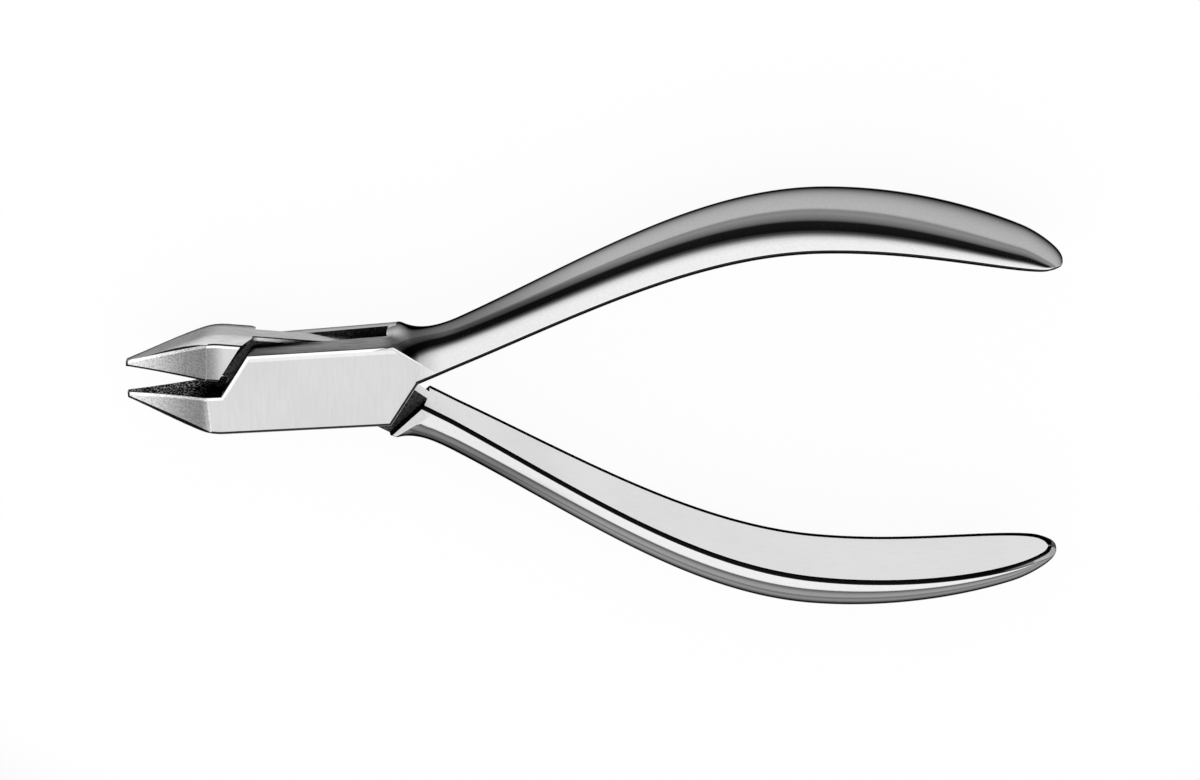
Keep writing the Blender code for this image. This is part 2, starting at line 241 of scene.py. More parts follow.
def thickness(x, side):
    """Thickness of the handle, from its flat inner face to its round back."""
    corner = ROOT_HEIGHT + HANDLE_CROWN + side * HANDLE_ROOT_TOP * math.sin(HANDLE_LEAN)
    root = (HANDLE_ROOT_TOP, corner - flat_height(HANDLE_ROOT_TOP))
    neck = (NECK_THINNEST_AT, NECK_THICKNESS)
    grip = (GRIP_THICKEST_AT, GRIP_THICKNESS)
    end = (HANDLE_REACH, END_THICKNESS)
    if x < root[0]:
        follow = ROOT_FOLLOW if side > 0 else 0.0
        return root[1] + follow * (root[0] - x)
    if x < neck[0]:
        return hermite(root, neck, -ROOT_THINNING, 0, x)
    if x < grip[0]:
        return hermite(neck, grip, 0, 0, x)
    plain = hermite(grip, end, 0, -END_THINNING, x)
    past = max(0.0, x - (HANDLE_REACH - END_ROUNDING)) / END_ROUNDING
    back = NOSE_LIFT + (plain - NOSE_LIFT) * math.sqrt(max(0.0, 1 - past**2))
    return back - nose_lift(x)


print(f"widest at {GRIP_WIDEST_AT * 1000:.0f} mm: {2000 * half_width(GRIP_WIDEST_AT):.1f} mm")

# %% [markdown]
# ## Section of a handle
# The forging is round where it leaves the joint, and the joint's flat faces are ground
# into it. So each section there is a half ellipse that is wider than the joint, cut off
# by the two faces. The share that the face takes up falls along a slanted line, and
# that line is the edge that catches the eye between the joint and the handle. A Bevel
# could make the chamfers, but rings give every line its own strip of faces, and so its
# own finish.

# %% One ring of a handle
SECTION_STEPS = 26


def face_share(x, side):
    """Share of the handle's thickness, from its inner face, that the joint's flat takes up."""
    turn = side * math.sin(HANDLE_LEAN)
    fall = (HANDLE_ROOT_HEIGHT - ROOT_HEIGHT) / (HANDLE_ROOT_SIDE - HANDLE_ROOT_TOP)
    at_pivot = ROOT_HEIGHT - fall * HANDLE_ROOT_TOP
    x = max(x, root_x(side))
    line = (at_pivot + (fall + turn) * x) / (1 - fall * turn)
    return (line - flat_height(x)) / thickness(x, side)


def root_x(side):
    """Where along the handle the joint's flat begins to fall off."""
    return HANDLE_ROOT_TOP - side * ROOT_HEIGHT * math.sin(HANDLE_LEAN)


def lean(x, y):
    """A point of the handle, turned from the handles' middle line to the jaws'."""
    return (x * math.cos(HANDLE_LEAN) + y * math.sin(HANDLE_LEAN),
            y * math.cos(HANDLE_LEAN) - x * math.sin(HANDLE_LEAN))


def root_corner(depth, rear, side):
    """The joint's own corner there, just under the handle's back, at a share of a plate's depth."""
    x = root_x(side)
    power = rear_power(x, side) if rear else 1.0
    across = JOINT_THICKNESS / 2 - depth * PLATE_THICKNESS
    cut = face_share(x, side)
    cosine = across * math.sqrt(1 - cut**2) / half_width(x)
    out = thickness(x, side) * math.sqrt(1 - cosine**2) ** power
    return lean(x, side * (flat_height(x) + out - ROOT_SINK))


def rear_power(x, side):
    """Power that makes the rear half of a section fuller; one leaves it an ellipse."""
    if side < 0:
        return 1.0
    t = (x - HANDLE_ROOT_TOP) / (ROOT_FULL_END - HANDLE_ROOT_TOP)
    t = min(1.0, max(0.0, t))
    return ROOT_FULLNESS + (1 - ROOT_FULLNESS) * t * t * (3 - 2 * t)


def handle_section(x, side):
    """Flat inner face, chamfers, and the round back behind them."""
    flat = flat_height(x)
    wide = half_width(x)
    thick = thickness(x, side)
    edge_depth = min(HANDLE_EDGE_DEPTH, END_EDGE_SHARE * thick)
    edge_width = min(HANDLE_EDGE_WIDTH, END_EDGE_SHARE * wide)
    back_line = min(BACK_LINES[side], BACK_LINE_SHARE * edge_depth)
    cut = max(face_share(x, side), (edge_depth + BACK_START * back_line) / thick)
    face_wide = max(face_width(x, FACE_SHORT) - edge_width, 3 * FACE_LEAST)
    face_wide = min(face_wide, wide - edge_width)
    line_wide = face_width(x, FACE_SHORT + FLAT_LINE) - edge_width
    front = max(min(line_wide - FLAT_LINE, face_wide - FACE_LEAST), FACE_LEAST)
    rear = max(min(line_wide - REAR_FLAT_LINE, face_wide - FACE_LEAST), FACE_LEAST)
    chamfer_wide = wide - face_wide
    painted_dark = min(PAINTED_DARK_SHARE, HANDLE_EDGE_WIDTH / chamfer_wide)
    chamfer = [(0.0, face_wide), (painted_dark * edge_depth, face_wide + painted_dark * chamfer_wide),
               (edge_depth, wide), (edge_depth + back_line, wide)]
    start = math.asin(cut)
    arc = []
    for step in range(SECTION_STEPS + 1):
        angle = start + (math.pi / 2 - start) * step / SECTION_STEPS
        arc.append((math.sin(angle), wide * math.cos(angle) / math.cos(start)))
    power = rear_power(x, side)
    section = [(0.0, front)] + chamfer
    section += [(thick * rise, across) for rise, across in arc]
    section += [(thick * rise**power, -across) for rise, across in reversed(arc[:-1])]
    section += [(out, -across) for out, across in reversed(chamfer)]
    section.append((0.0, -rear))
    shift = side * END_SHIFT * max(0.0, (x - BOW_AT) / (HANDLE_REACH - BOW_AT)) ** 2
    ring = []
    for out, across in section:
        px, py = lean(x - shift, side * (flat + out))
        ring.append((px, py, MIDDLE_Z + across))
    return ring


print("points in a section:", len(handle_section(BOW_AT, 1)))

# %% [markdown]
# ## Outlines of the joint
# Seen from the front, each limb's flat part is a polygon of nine or ten corners, and the
# corner behind the jaw is eased into a short curve. The share says how far its long edges
# are crowned: not at all at the faces, and fully in the middle, so that the top and
# bottom of the joint are softly rounded. Each corner has a name, and a name also stands
# for the side that goes on from that corner, so a finish can be asked for by name.

# %% Shared edges of the two limbs
def line_x(first, second, y):
    """X at height y on the straight line through two points."""
    return first[0] + (y - first[1]) * (second[0] - first[0]) / (second[1] - first[1])


def mirrored(point):
    """The same point on the other side of the pivot."""
    return (-point[0], -point[1])


def plate_edge():
    """The slanted edge of the plates beside the upper jaw: its foot and its top."""
    return (-PLATE_EDGE_FOOT, -JAW_ROOT_GAP / 2), (-PLATE_EDGE_TOP, HALF_HEIGHT)


def jaw_shoulder():
    foot, top = plate_edge()
    return ((foot[0] - JAW_SHOULDER_FOOT_GAP, JAW_ROOT_GAP / 2),
            (top[0] - JAW_SHOULDER_GAP, top[1]))


def handle_shoulder():
    foot, low = (mirrored(point) for point in plate_edge())
    return ((foot[0] + HANDLE_SHOULDER_FOOT_GAP, foot[1]),
            (low[0] + HANDLE_SHOULDER_GAP, low[1]))


def slot_end():
    """The slot's end wall in the handle's root, from its foot to its top."""
    return (SLOT_END_FOOT, JAW_ROOT_GAP / 2), (SLOT_END_TOP, ROOT_HEIGHT + HANDLE_CROWN)


print("plate edge:", plate_edge())

# %% Outlines
CORNER_POINTS = 5
JAW_CURVE = tuple(f"jaw_curve_{step}" for step in range(CORNER_POINTS))
BOX_CORNERS = ("tip_top", "tip_low", *JAW_CURVE, "low_corner", "low_foot", "handle_side",
               "handle_top", "top_corner", "top_foot")
TONGUE_CORNERS = ("tip_low", "foot", "foot_end", "root_start", "handle_low", "handle_side",
                  "neck", "top_end", *JAW_CURVE, "tip_top")


def eased_corner(before, corner, after):
    """A short curve in place of a corner, from the side before it to the side after it."""
    corner = Vector(corner)
    start = corner + (Vector(before) - corner).normalized() * JAW_CORNER_EASE
    end = corner + (Vector(after) - corner).normalized() * JAW_CORNER_EASE
    curve = []
    for step in range(CORNER_POINTS):
        t = step / (CORNER_POINTS - 1)
        curve.append(tuple(start * (1 - t)**2 + corner * 2 * t * (1 - t) + end * t**2))
    return curve


def box_outline(share, depth=0.0, rear=False):
    """Lower jaw and box, with a share of the crown, at a share of a plate's depth."""
    foot, top = plate_edge()
    height = HALF_HEIGHT + share * CROWN
    corner = (line_x(foot, top, height), height)
    tip = (-JAW_LENGTH, -JAW_TIP_GAP / 2 - JAW_TIP_HEIGHT)
    return [
        (-JAW_LENGTH, -JAW_TIP_GAP / 2),
        tip,
        *eased_corner(tip, (-JAW_TAPER_START, -height), mirrored(corner)),
        mirrored(corner),
        mirrored(foot),
        (HANDLE_ROOT_SIDE, HANDLE_ROOT_HEIGHT),
        root_corner(depth, rear, 1),
        corner,
        foot,
    ]


def tongue_outline(share, depth=0.0, rear=False):
    """Upper jaw, tongue and handle root, in the same way."""
    height = HALF_HEIGHT + share * CROWN
    foot = jaw_shoulder()[0]
    neck_x = handle_shoulder()[0][0]
    tip = (-JAW_LENGTH, JAW_TIP_GAP / 2 + JAW_TIP_HEIGHT)
    return [
        (-JAW_LENGTH, JAW_TIP_GAP / 2),
        foot,
        (TONGUE_FOOT_END, -HALF_HEIGHT),
        (TONGUE_ROOT_START, -HALF_HEIGHT),
        root_corner(depth, rear, -1),
        (HANDLE_ROOT_SIDE, -HANDLE_ROOT_HEIGHT),
        lean(neck_x, -flat_height(neck_x) - (1 - share) * NECK_SINK),
        (TONGUE_TOP_END, height),
        *eased_corner((TONGUE_TOP_END, height), (-JAW_TAPER_START, height), tip),
        tip,
    ]


print("corners:", len(box_outline(0)), len(BOX_CORNERS), "and",
      len(tongue_outline(0)), len(TONGUE_CORNERS))

# %% [markdown]
# ## Finishes, by name
# A limb has several finishes, and the forms that make it carry them: the handle's form
# is polished, a ground face is satin, and a cutter leaves its own rough finish in the
# recess it makes, painted nearly black as painted shade. A Boolean modifier can pass
# these materials on, so they are made first, empty, and get their nodes further down.

# %% Empty materials
FINISHES = ("polished_back", "satin_flat", "face_run_out", "painted_dark_edge", "eased_edge",
            "ground_face", "jaw_facet", "jaw_gripping_face", "joint_side", "jaw_back",
            "recess_steel", "pin_end")
finishes = {}
for finish_name in FINISHES:
    finishes[finish_name] = bpy.data.materials.new(finish_name)
    finishes[finish_name].use_nodes = True
print("finishes:", ", ".join(FINISHES))

# %% [markdown]
# ## Meshes through rings
# The handle's form, the joint's layers and every cutter are closed bodies through rings
# of equally many points. Curves with a bevel object could make some of them, but rings
# make all of them with one function, and a small rule says which finish each strip of
# faces wears.

# %% Ring mesh
def ring_object(name, rings, wears, side_finish=None):
    """A closed body through rings. side_finish(step, strip) is a place in wears."""
    count = len(rings[0])
    points = [point for ring in rings for point in ring]
    faces = []
    slots = []
    for step in range(len(rings) - 1):
        for strip in range(count):
            after = (strip + 1) % count
            near = step * count
            far = near + count
            faces.append((near + strip, near + after, far + after, far + strip))
            slots.append(side_finish(step, strip) if side_finish else 0)
    last = (len(rings) - 1) * count
    faces.append(tuple(reversed(range(count))))
    faces.append(tuple(last + index for index in range(count)))
    slots += [len(wears) - 1] * 2
    mesh = bpy.data.meshes.new(name)
    mesh.from_pydata(points, [], faces)
    for wear in wears:
        mesh.materials.append(finishes[wear])
    mesh.polygons.foreach_set("material_index", slots)
    bm = bmesh.new()
    bm.from_mesh(mesh)
    bmesh.ops.recalc_face_normals(bm, faces=bm.faces)
    bm.to_mesh(mesh)
    bm.free()
    item = bpy.data.objects.new(name, mesh)
    bpy.context.scene.collection.objects.link(item)
    return item


def inset(outline, distance):
    """The same outline, drawn in by a distance along each side."""
    result = []
    for index, place in enumerate(outline):
        before = Vector(outline[index - 1])
        here = Vector(place)
        after = Vector(outline[(index + 1) % len(outline)])
        along_in = (here - before).normalized()
        along_out = (after - here).normalized()
        normal_in = Vector((-along_in.y, along_in.x))
        normal_out = Vector((-along_out.y, along_out.x))
        half_way = (normal_in + normal_out).normalized()
        result.append(tuple(here + half_way * distance / half_way.dot(normal_out)))
    return result


print("ring meshes ready")

# %% [markdown]
# ## The flat part of a limb
# It is stacked from thin layers. The outermost is drawn in a little, which eases the
# edge of the ground face, and the next ones swell to the crown in a curve, so that the
# joint's top reflects softly and not in flats. Extruding the outline and bevelling it
# would ease every edge alike, and here some edges are bright, some stoned and some sharp.

# %% Layers of a limb's flat part
CROWN_LAYERS = 6
FRONT_FULLNESS = 2.0


def half_layers(outline, fullness, rear):
    """(depth, outline) from a face to the middle; a fuller crown rises sooner."""
    face = outline(0.0, 0.0, rear)
    line_depth = FACE_EDGE_DEPTH * (1 - FACE_LINE / FACE_EDGE_WIDTH)
    layers = [(0.0, inset(face, FACE_EDGE_WIDTH)), (line_depth, inset(face, FACE_LINE))]
    crown_depth = PLATE_THICKNESS - FACE_EDGE_DEPTH
    depths = [0.0, SIDE_LINE / crown_depth]
    depths += [step / CROWN_LAYERS for step in range(1, CROWN_LAYERS + 1)]
    for t in depths:
        ring = outline(1 - (1 - t) ** fullness, t, rear)
        layers.append((FACE_EDGE_DEPTH + t * crown_depth, ring))
    return layers


def limb_layers(outline, back_fullness):
    """(height, outline) from the back face to the front face."""
    front = half_layers(outline, FRONT_FULLNESS, False)
    back = half_layers(outline, back_fullness, True)
    return ([(depth - JOINT_THICKNESS, ring) for depth, ring in back]
            + [(-depth, ring) for depth, ring in reversed(front)])


print("layers:", len(limb_layers(box_outline, FRONT_FULLNESS)))

# %% [markdown]
# ## Finishes of the flat part
# The sides of the joint carry painted light and shade, its long upper edges keep a bright
# eased rim, and the others are stoned and painted almost black, a painted dark line. On the
# tongue limb a fine stoned line, painted dark as well, runs beside the bright rim too, and the
# side that goes over into the lower handle is satin like the handle's inner face. They
# could be painted by place, but a finish for each strip follows every edge exactly.

# %% Finishes of the flat part
BOX_SIDES = {
    "side": "joint_side",
    "bright_rims": ("handle_top", "top_corner", "top_foot"),
    "lined": (),
    "gripping": ("top_foot",),
    "satin": (),
    "back_fullness": 5.0,
}
TONGUE_SIDES = {
    "side": "jaw_back",
    "bright_rims": ("top_end", *JAW_CURVE),
    "lined": ("top_end", *JAW_CURVE[:2]),
    "gripping": ("tip_low",),
    "satin": ("handle_side", "neck"),
    "back_fullness": 2.0,
}


def flat_part(name, outline, corners, sides):
    """The stacked layers. sides says which strips have a bright rim or a finish of their own."""
    layers = limb_layers(outline, sides["back_fullness"])
    rings = [[(x, y, z) for x, y in ring] for z, ring in layers]
    wears = (sides["side"], "eased_edge", "satin_flat", "jaw_gripping_face", "painted_dark_edge",
             "ground_face")

    def wear(step, strip):
        from_face = min(step, len(layers) - 2 - step)
        corner = corners[strip]
        bright = corner in sides["bright_rims"]
        if from_face < 2 and bright:
            return wears.index("eased_edge")
        if from_face > 0 and corner in sides["satin"]:
            return wears.index("satin_flat")
        if from_face > 1 and corner in sides["gripping"]:
            return wears.index("jaw_gripping_face")
        if from_face < 3 and (corner in sides["lined"] or not bright):
            return wears.index("painted_dark_edge")
        return 0

    return ring_object(name, rings, wears, wear)


print("bright rims:", len(BOX_SIDES["bright_rims"]), "and", len(TONGUE_SIDES["bright_rims"]))

# %% [markdown]
# ## Cutters
# A milling cutter makes the slot, the recess beside the tongue and the pin's bore, and a
# belt grinder makes the jaws' facets. Each is a plain closed body that wears the finish
# it leaves behind. Such cuts could be modelled into the limb's own mesh, but a cutter
# keeps each of them in one place, where its sizes are easy to change.

# %% Facet cutter
def layer_cutter(name, layers, finish):
    rings = [[(x, y, z) for x, y in outline] for z, outline in layers]
    return ring_object(name, rings, (finish,))


FACET_STEPS = 16
STEPS_PAST_TIP = 3
FACET_HOLLOW = 0.00022          # how far a facet is hollow ground, in its middle


def facet_cutter(name, face_z):
    """A wedge with a slightly hollow face, which narrows both jaws to their tips."""
    outward = 1 if face_z > MIDDLE_Z else -1
    tip_z = MIDDLE_Z + outward * JAW_TIP_WIDTH / 2
    length = JAW_LENGTH - JAW_TAPER_START
    profile = [(-JAW_TAPER_START, face_z + outward * OVERCUT)]
    for step in range(FACET_STEPS + STEPS_PAST_TIP + 1):
        t = step / FACET_STEPS
        hollow = 4 * FACET_HOLLOW * t * max(0.0, 1 - t)
        z = face_z + (tip_z - face_z) * t - outward * hollow
        profile.append((-JAW_TAPER_START - t * length, z))
    profile.append((profile[-1][0], face_z + outward * OVERCUT))
    rings = [[(x, y, z) for x, z in profile] for y in (-REACH_OUT, REACH_OUT)]
    return ring_object(name, rings, ("jaw_facet",))


print(f"facets hollow by {FACET_HOLLOW * 1000:.2f} mm")

# %% Slot and recess cutters
def slot_cutter():
    foot, top = slot_end()
    past_foot = (line_x(foot, top, -JAW_ROOT_GAP), -JAW_ROOT_GAP)
    past_top = (line_x(foot, top, REACH_OUT), REACH_OUT)
    right = [(past_foot[0], -REACH_OUT), past_foot, past_top]
    outline = right + [mirrored(point) for point in right]
    layers = [(SLOT_BACK_Z, outline), (SLOT_FRONT_Z + TONGUE_PLAY, outline)]
    return layer_cutter("slot_cut", layers, "recess_steel")


def pocket_outline(flare):
    """The recess beside the tongue, between the tongue limb's two shoulders."""
    jaw_foot, jaw_top = jaw_shoulder()
    flared_top = (jaw_top[0] + flare, jaw_top[1])
    handle_foot, handle_low = handle_shoulder()
    clear = JAW_SHOULDER_GAP
    return [
        (line_x(handle_foot, handle_low, -REACH_OUT), -REACH_OUT),
        handle_foot,
        (handle_foot[0] + clear, REACH_OUT),
        (line_x(jaw_foot, flared_top, REACH_OUT), REACH_OUT),
        jaw_foot,
        (jaw_foot[0] - clear, -JAW_ROOT_GAP),
        (jaw_foot[0] - clear, -REACH_OUT),
    ]


def pocket_cutter(name, face_z):
    outward = 1 if face_z > MIDDLE_Z else -1
    floor_z = MIDDLE_Z + outward * ((SLOT_FRONT_Z - SLOT_BACK_Z) / 2 - TONGUE_CLEARANCE)
    layers = [
        (floor_z, pocket_outline(JAW_SHOULDER_FLARE)),
        (face_z, pocket_outline(0.0)),
        (face_z + outward * OVERCUT, pocket_outline(0.0)),
    ]
    return layer_cutter(name, layers, "recess_steel")


print("recess:", len(pocket_outline(0.0)), "corners")

# %% Bore cutter
ROUND_STEPS = 96


def circle(radius):
    turns = [2 * math.pi * step / ROUND_STEPS for step in range(ROUND_STEPS)]
    return [(radius * math.cos(turn), radius * math.sin(turn)) for turn in turns]


def bore_cutter(name, low, high):
    ring = circle(PIN_RADIUS + PIN_FIT)
    return layer_cutter(name, [(low, ring), (high, ring)], "recess_steel")


print(f"bore {2000 * (PIN_RADIUS + PIN_FIT):.2f} mm wide")

# %% [markdown]
# ## The handle's form
# It takes many rings along the handle, closer together at its rounded end, where the
# curve turns fastest. Strip by strip it wears satin on the flat inner face, the stoned
# finish along the chamfers, painted almost black as a painted dark line, and polish on the
# rest. On the lower handle the chamfer's second strip is polished: it is a hair wide along
# the handle, and opens out at the nose.

# %% Handle form
HANDLE_STATIONS = 230
END_STATIONS = 46


def handle_places():
    start = PLATE_EDGE_TOP - OVERCUT
    end_start = HANDLE_REACH - 2 * END_ROUNDING
    places = [start + (end_start - start) * step / HANDLE_STATIONS
              for step in range(HANDLE_STATIONS)]
    for step in range(END_STATIONS):
        turn = math.pi / 2 * step / END_STATIONS
        places.append(end_start + 2 * END_ROUNDING * math.sin(turn))
    return places


# The stoned strips are painted almost black, as painted dark lines.
EDGE_STRIPS = 4                 # a stoned line, the chamfer in two strips, another line
NOSE_STRIP = 2                  # the chamfer's second strip


def handle_form(name, side):
    rings = [handle_section(x, side) for x in handle_places()]
    inner_face = len(rings[0]) - 1
    wears = ("polished_back", "satin_flat", "painted_dark_edge", "face_run_out", "polished_back")

    def wear(step, strip):
        if strip == inner_face:
            return wears.index("satin_flat")
        from_face = min(strip, inner_face - 1 - strip)
        if from_face > EDGE_STRIPS or (from_face == NOSE_STRIP and side < 0):
            return wears.index("polished_back")
        if from_face == EDGE_STRIPS:
            return wears.index("face_run_out")
        return wears.index("painted_dark_edge")

    return ring_object(name, rings, wears, wear)


print("stations:", len(handle_places()))

# %% [markdown]
# ## Cutting and joining
# The jaws are ground first, while the limb is still simple, and a fine Bevel breaks
# their edges. Then the handle is joined on and the slot, recess and bore are cut. Each
# Boolean passes its cutter's material on. The result is one closed mesh, and the cutters
# are deleted.

# %% Boolean steps
EDGE_BREAK = 0.00006
SHARP_FROM = math.radians(24)
FLATS_COUNT_MOST = 100          # weight that lets the large faces set the shading


def settle(item):
    """Replace the object's mesh by what its modifiers make of it."""
    graph = bpy.context.evaluated_depsgraph_get()
    mesh = bpy.data.meshes.new_from_object(item.evaluated_get(graph))
    item.modifiers.clear()
    item.data = mesh


def combine(limb, tools, operation):
    for tool in tools:
        step = limb.modifiers.new(tool.name, "BOOLEAN")
        step.operation = operation
        step.solver = "EXACT"
        step.material_mode = "TRANSFER"
        step.object = tool
    settle(limb)
    for tool in tools:
        bpy.data.objects.remove(tool, do_unlink=True)


def break_edges(limb):
    """Round every sharp edge a little; the rounding wears the stoned finish, painted almost black
    as a dark line.
    """
    limb.data.materials.append(finishes["painted_dark_edge"])
    step = limb.modifiers.new("broken_edges", "BEVEL")
    step.material = len(limb.data.materials) - 1
    step.width = EDGE_BREAK
    step.segments = 2
    step.limit_method = "ANGLE"
    step.angle_limit = SHARP_FROM
    step.use_clamp_overlap = False
    settle(limb)


def soften(limb):
    """Smooth shading with sharp edges kept, and flats that stay flat."""
    limb.data.shade_smooth()
    limb.data.set_sharp_from_angle(angle=SHARP_FROM)
    step = limb.modifiers.new("flat_faces_stay_flat", "WEIGHTED_NORMAL")
    step.keep_sharp = True
    step.weight = FLATS_COUNT_MOST


print(f"edges broken by {EDGE_BREAK * 1000:.2f} mm")


# %% Order of work on a limb
def make_limb(name, outline, corners, side, sides, cutters):
    limb = flat_part(name, outline, corners, sides)
    facets = [facet_cutter(f"{name}_facet_{label}", face_z)
              for label, face_z in (("front", 0.0), ("back", -JOINT_THICKNESS))]
    combine(limb, facets, "DIFFERENCE")
    break_edges(limb)
    combine(limb, [handle_form(f"{name}_handle", side)], "UNION")
    combine(limb, cutters, "DIFFERENCE")
    limb.data.transform(Matrix.Rotation(side * OPENING / 2, 4, "Z"))
    soften(limb)
    print(f"{name}: {len(limb.data.polygons)} faces")
    return limb


# %% [markdown]
# ## The two limbs
# The box limb holds the tongue in its slot, and its bore stops short of the front face.
# The tongue limb has a recess on either side and a bore right through. Each rides on its
# own body, takes the limbs' steel, and stands for one solid of the frame.

# %% Box limb
box_limb = make_limb(
    "box_limb_steel", box_outline, BOX_CORNERS, 1, BOX_SIDES,
    [slot_cutter(), bore_cutter("box_bore", -JOINT_THICKNESS - OVERCUT, -FRONT_WALL)])
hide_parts("box_limb")
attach(box_limb, "box_body")

# %% Tongue limb
tongue_limb = make_limb(
    "tongue_limb_steel", tongue_outline, TONGUE_CORNERS, -1, TONGUE_SIDES,
    [pocket_cutter("pocket_front", 0.0), pocket_cutter("pocket_back", -JOINT_THICKNESS),
     bore_cutter("tongue_bore", -JOINT_THICKNESS - OVERCUT, OVERCUT)])
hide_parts("tongue_limb")
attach(tongue_limb, "tongue_body")

# %% [markdown]
# ## The pivot pin
# The pin is pressed in from behind and ground flush, so only a fine round line shows at
# the back of the joint. It is a turned profile with a small chamfer at each end. A
# cylinder with a Bevel would do as well, and the profile is drawn like the lathe's.

# %% Pivot pin
def turned(name, profile, finish):
    rings = [[(x, y, z) for x, y in circle(radius)] for z, radius in profile]
    return ring_object(name, rings, (finish,))


pin_front = -FRONT_WALL - PIN_FIT
pivot_pin = turned("pivot_pin_steel", [
    (-JOINT_THICKNESS, PIN_RADIUS - PIN_CHAMFER),
    (-JOINT_THICKNESS + PIN_CHAMFER, PIN_RADIUS),
    (pin_front - PIN_CHAMFER, PIN_RADIUS),
    (pin_front, PIN_RADIUS - PIN_CHAMFER),
], "pin_end")
soften(pivot_pin)
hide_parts("pivot_pin")
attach(pivot_pin, "box_body")
print(f"pivot pin {2000 * PIN_RADIUS:.1f} mm wide, {len(pivot_pin.data.polygons)} faces")

# %% [markdown]
# ## Steel, and how it takes the light
# All of it is one stainless steel, and the last tool that touched a face makes it look
# different: a belt leaves fine parallel lines, a blast of grit leaves a grain, and a
# polishing wheel leaves almost nothing. Light and shade are also painted into some
# finishes. So four small effects are built once, as node groups, and each finish places
# them with its own values. They work on the object's coordinates, in metres, so they stay
# on the steel in every view.

# %% Node helpers
def add_node(tree, kind, **values):
    """A new node with some of its properties set."""
    node = tree.nodes.new(kind)
    for name, value in values.items():
        setattr(node, name, value)
    return node


def math_node(tree, operation, first, second=None, clamp=False):
    """A Math node fed by sockets or numbers; returns its output."""
    node = add_node(tree, "ShaderNodeMath", operation=operation, use_clamp=clamp)
    for place, value in enumerate((first, second)):
        if value is None:
            continue
        if isinstance(value, (int, float)):
            node.inputs[place].default_value = value
        else:
            tree.links.new(value, node.inputs[place])
    return node.outputs[0]


def product(tree, *factors, clamp=False):
    """Several sockets or numbers, multiplied one after the other."""
    result = factors[0]
    for index, factor in enumerate(factors[1:], 2):
        last = index == len(factors)
        result = math_node(tree, "MULTIPLY", result, factor, clamp=clamp and last)
    return result


def total(tree, first, second, clamp=False):
    return math_node(tree, "ADD", first, second, clamp=clamp)


def without(tree, tone, loss):
    """What a loss between zero and one leaves of a tone."""
    return product(tree, tone, math_node(tree, "SUBTRACT", 1.0, loss))


def range_node(tree, value, low, high, to_low, to_high, interpolation="LINEAR"):
    """A Map Range node from low..high to to_low..to_high; returns its output."""
    node = add_node(tree, "ShaderNodeMapRange", interpolation_type=interpolation)
    tree.links.new(value, node.inputs["Value"])
    for name, number in (("From Min", low), ("From Max", high),
                         ("To Min", to_low), ("To Max", to_high)):
        node.inputs[name].default_value = number
    return node.outputs["Result"]


def new_group(name, inputs, outputs):
    """A shader node group with named sockets; returns its tree, input and output nodes."""
    tree = bpy.data.node_groups.new(name, "ShaderNodeTree")
    for label, kind, value in inputs:
        socket = tree.interface.new_socket(name=label, in_out="INPUT", socket_type=kind)
        socket.default_value = value
    for label, kind in outputs:
        tree.interface.new_socket(name=label, in_out="OUTPUT", socket_type=kind)
    return tree, tree.nodes.new("NodeGroupInput"), tree.nodes.new("NodeGroupOutput")


NUMBER = "NodeSocketFloat"
DIRECTION = "NodeSocketVector"
print("helpers ready")

# %% [markdown]
# ## Tool marks
# Belt and wheel marks are noise stretched along the way the tool ran. Grit marks are the
# same noise, not stretched. One group makes both: its Stretch says how many marks there
# are to a metre along each axis. Shade is a factor near one for a colour, and Height is
# for a bump.

# %% Tool marks group
MARKS_DETAIL = 3.0
MARKS_ROUGHNESS = 0.6
NOISE_MIDDLE = 0.5
MARKS_SWING = 4.0               # noise stays near its middle, so its swing is made wider
tool_marks, given, made = new_group(
    "tool_marks",
    [("Stretch", DIRECTION, (4000.0, 4000.0, 4000.0)), ("Contrast", NUMBER, 0.1)],
    [("Shade", NUMBER), ("Height", NUMBER)])
stretched = add_node(tool_marks, "ShaderNodeVectorMath", operation="MULTIPLY")
tool_marks.links.new(add_node(tool_marks, "ShaderNodeTexCoord").outputs["Object"],
                     stretched.inputs[0])
tool_marks.links.new(given.outputs["Stretch"], stretched.inputs[1])
marks = add_node(tool_marks, "ShaderNodeTexNoise")
marks.inputs["Scale"].default_value = 1.0
marks.inputs["Detail"].default_value = MARKS_DETAIL
marks.inputs["Roughness"].default_value = MARKS_ROUGHNESS
tool_marks.links.new(stretched.outputs["Vector"], marks.inputs["Vector"])
height = marks.outputs["Fac"]
swing = math_node(tool_marks, "SUBTRACT", height, NOISE_MIDDLE)
swing = product(tool_marks, swing, MARKS_SWING, given.outputs["Contrast"])
tool_marks.links.new(total(tool_marks, swing, 1.0), made.inputs["Shade"])
tool_marks.links.new(height, made.inputs["Height"])
print("group:", tool_marks.name)

# %% [markdown]
# ## Haze of handling
# No polished steel is equally bright all over. Fingers and cloths leave soft clouds in
# which it is a touch duller, a few millimetres across. This group puts out a roughness
# between two given values.

# %% Haze group
HAZE_DETAIL = 2.0
HAZE_FROM = 0.3                 # the part of the noise's range that holds its clouds
HAZE_TO = 0.7
haze, given, made = new_group(
    "haze_of_handling",
    [("Clouds", NUMBER, 180.0), ("Least", NUMBER, 0.05), ("Most", NUMBER, 0.10)],
    [("Roughness", NUMBER)])
clouds = add_node(haze, "ShaderNodeTexNoise")
clouds.inputs["Detail"].default_value = HAZE_DETAIL
haze.links.new(add_node(haze, "ShaderNodeTexCoord").outputs["Object"], clouds.inputs["Vector"])
haze.links.new(given.outputs["Clouds"], clouds.inputs["Scale"])
reach = add_node(haze, "ShaderNodeMapRange", interpolation_type="SMOOTHSTEP")
reach.inputs["From Min"].default_value = HAZE_FROM
reach.inputs["From Max"].default_value = HAZE_TO
haze.links.new(clouds.outputs["Fac"], reach.inputs["Value"])
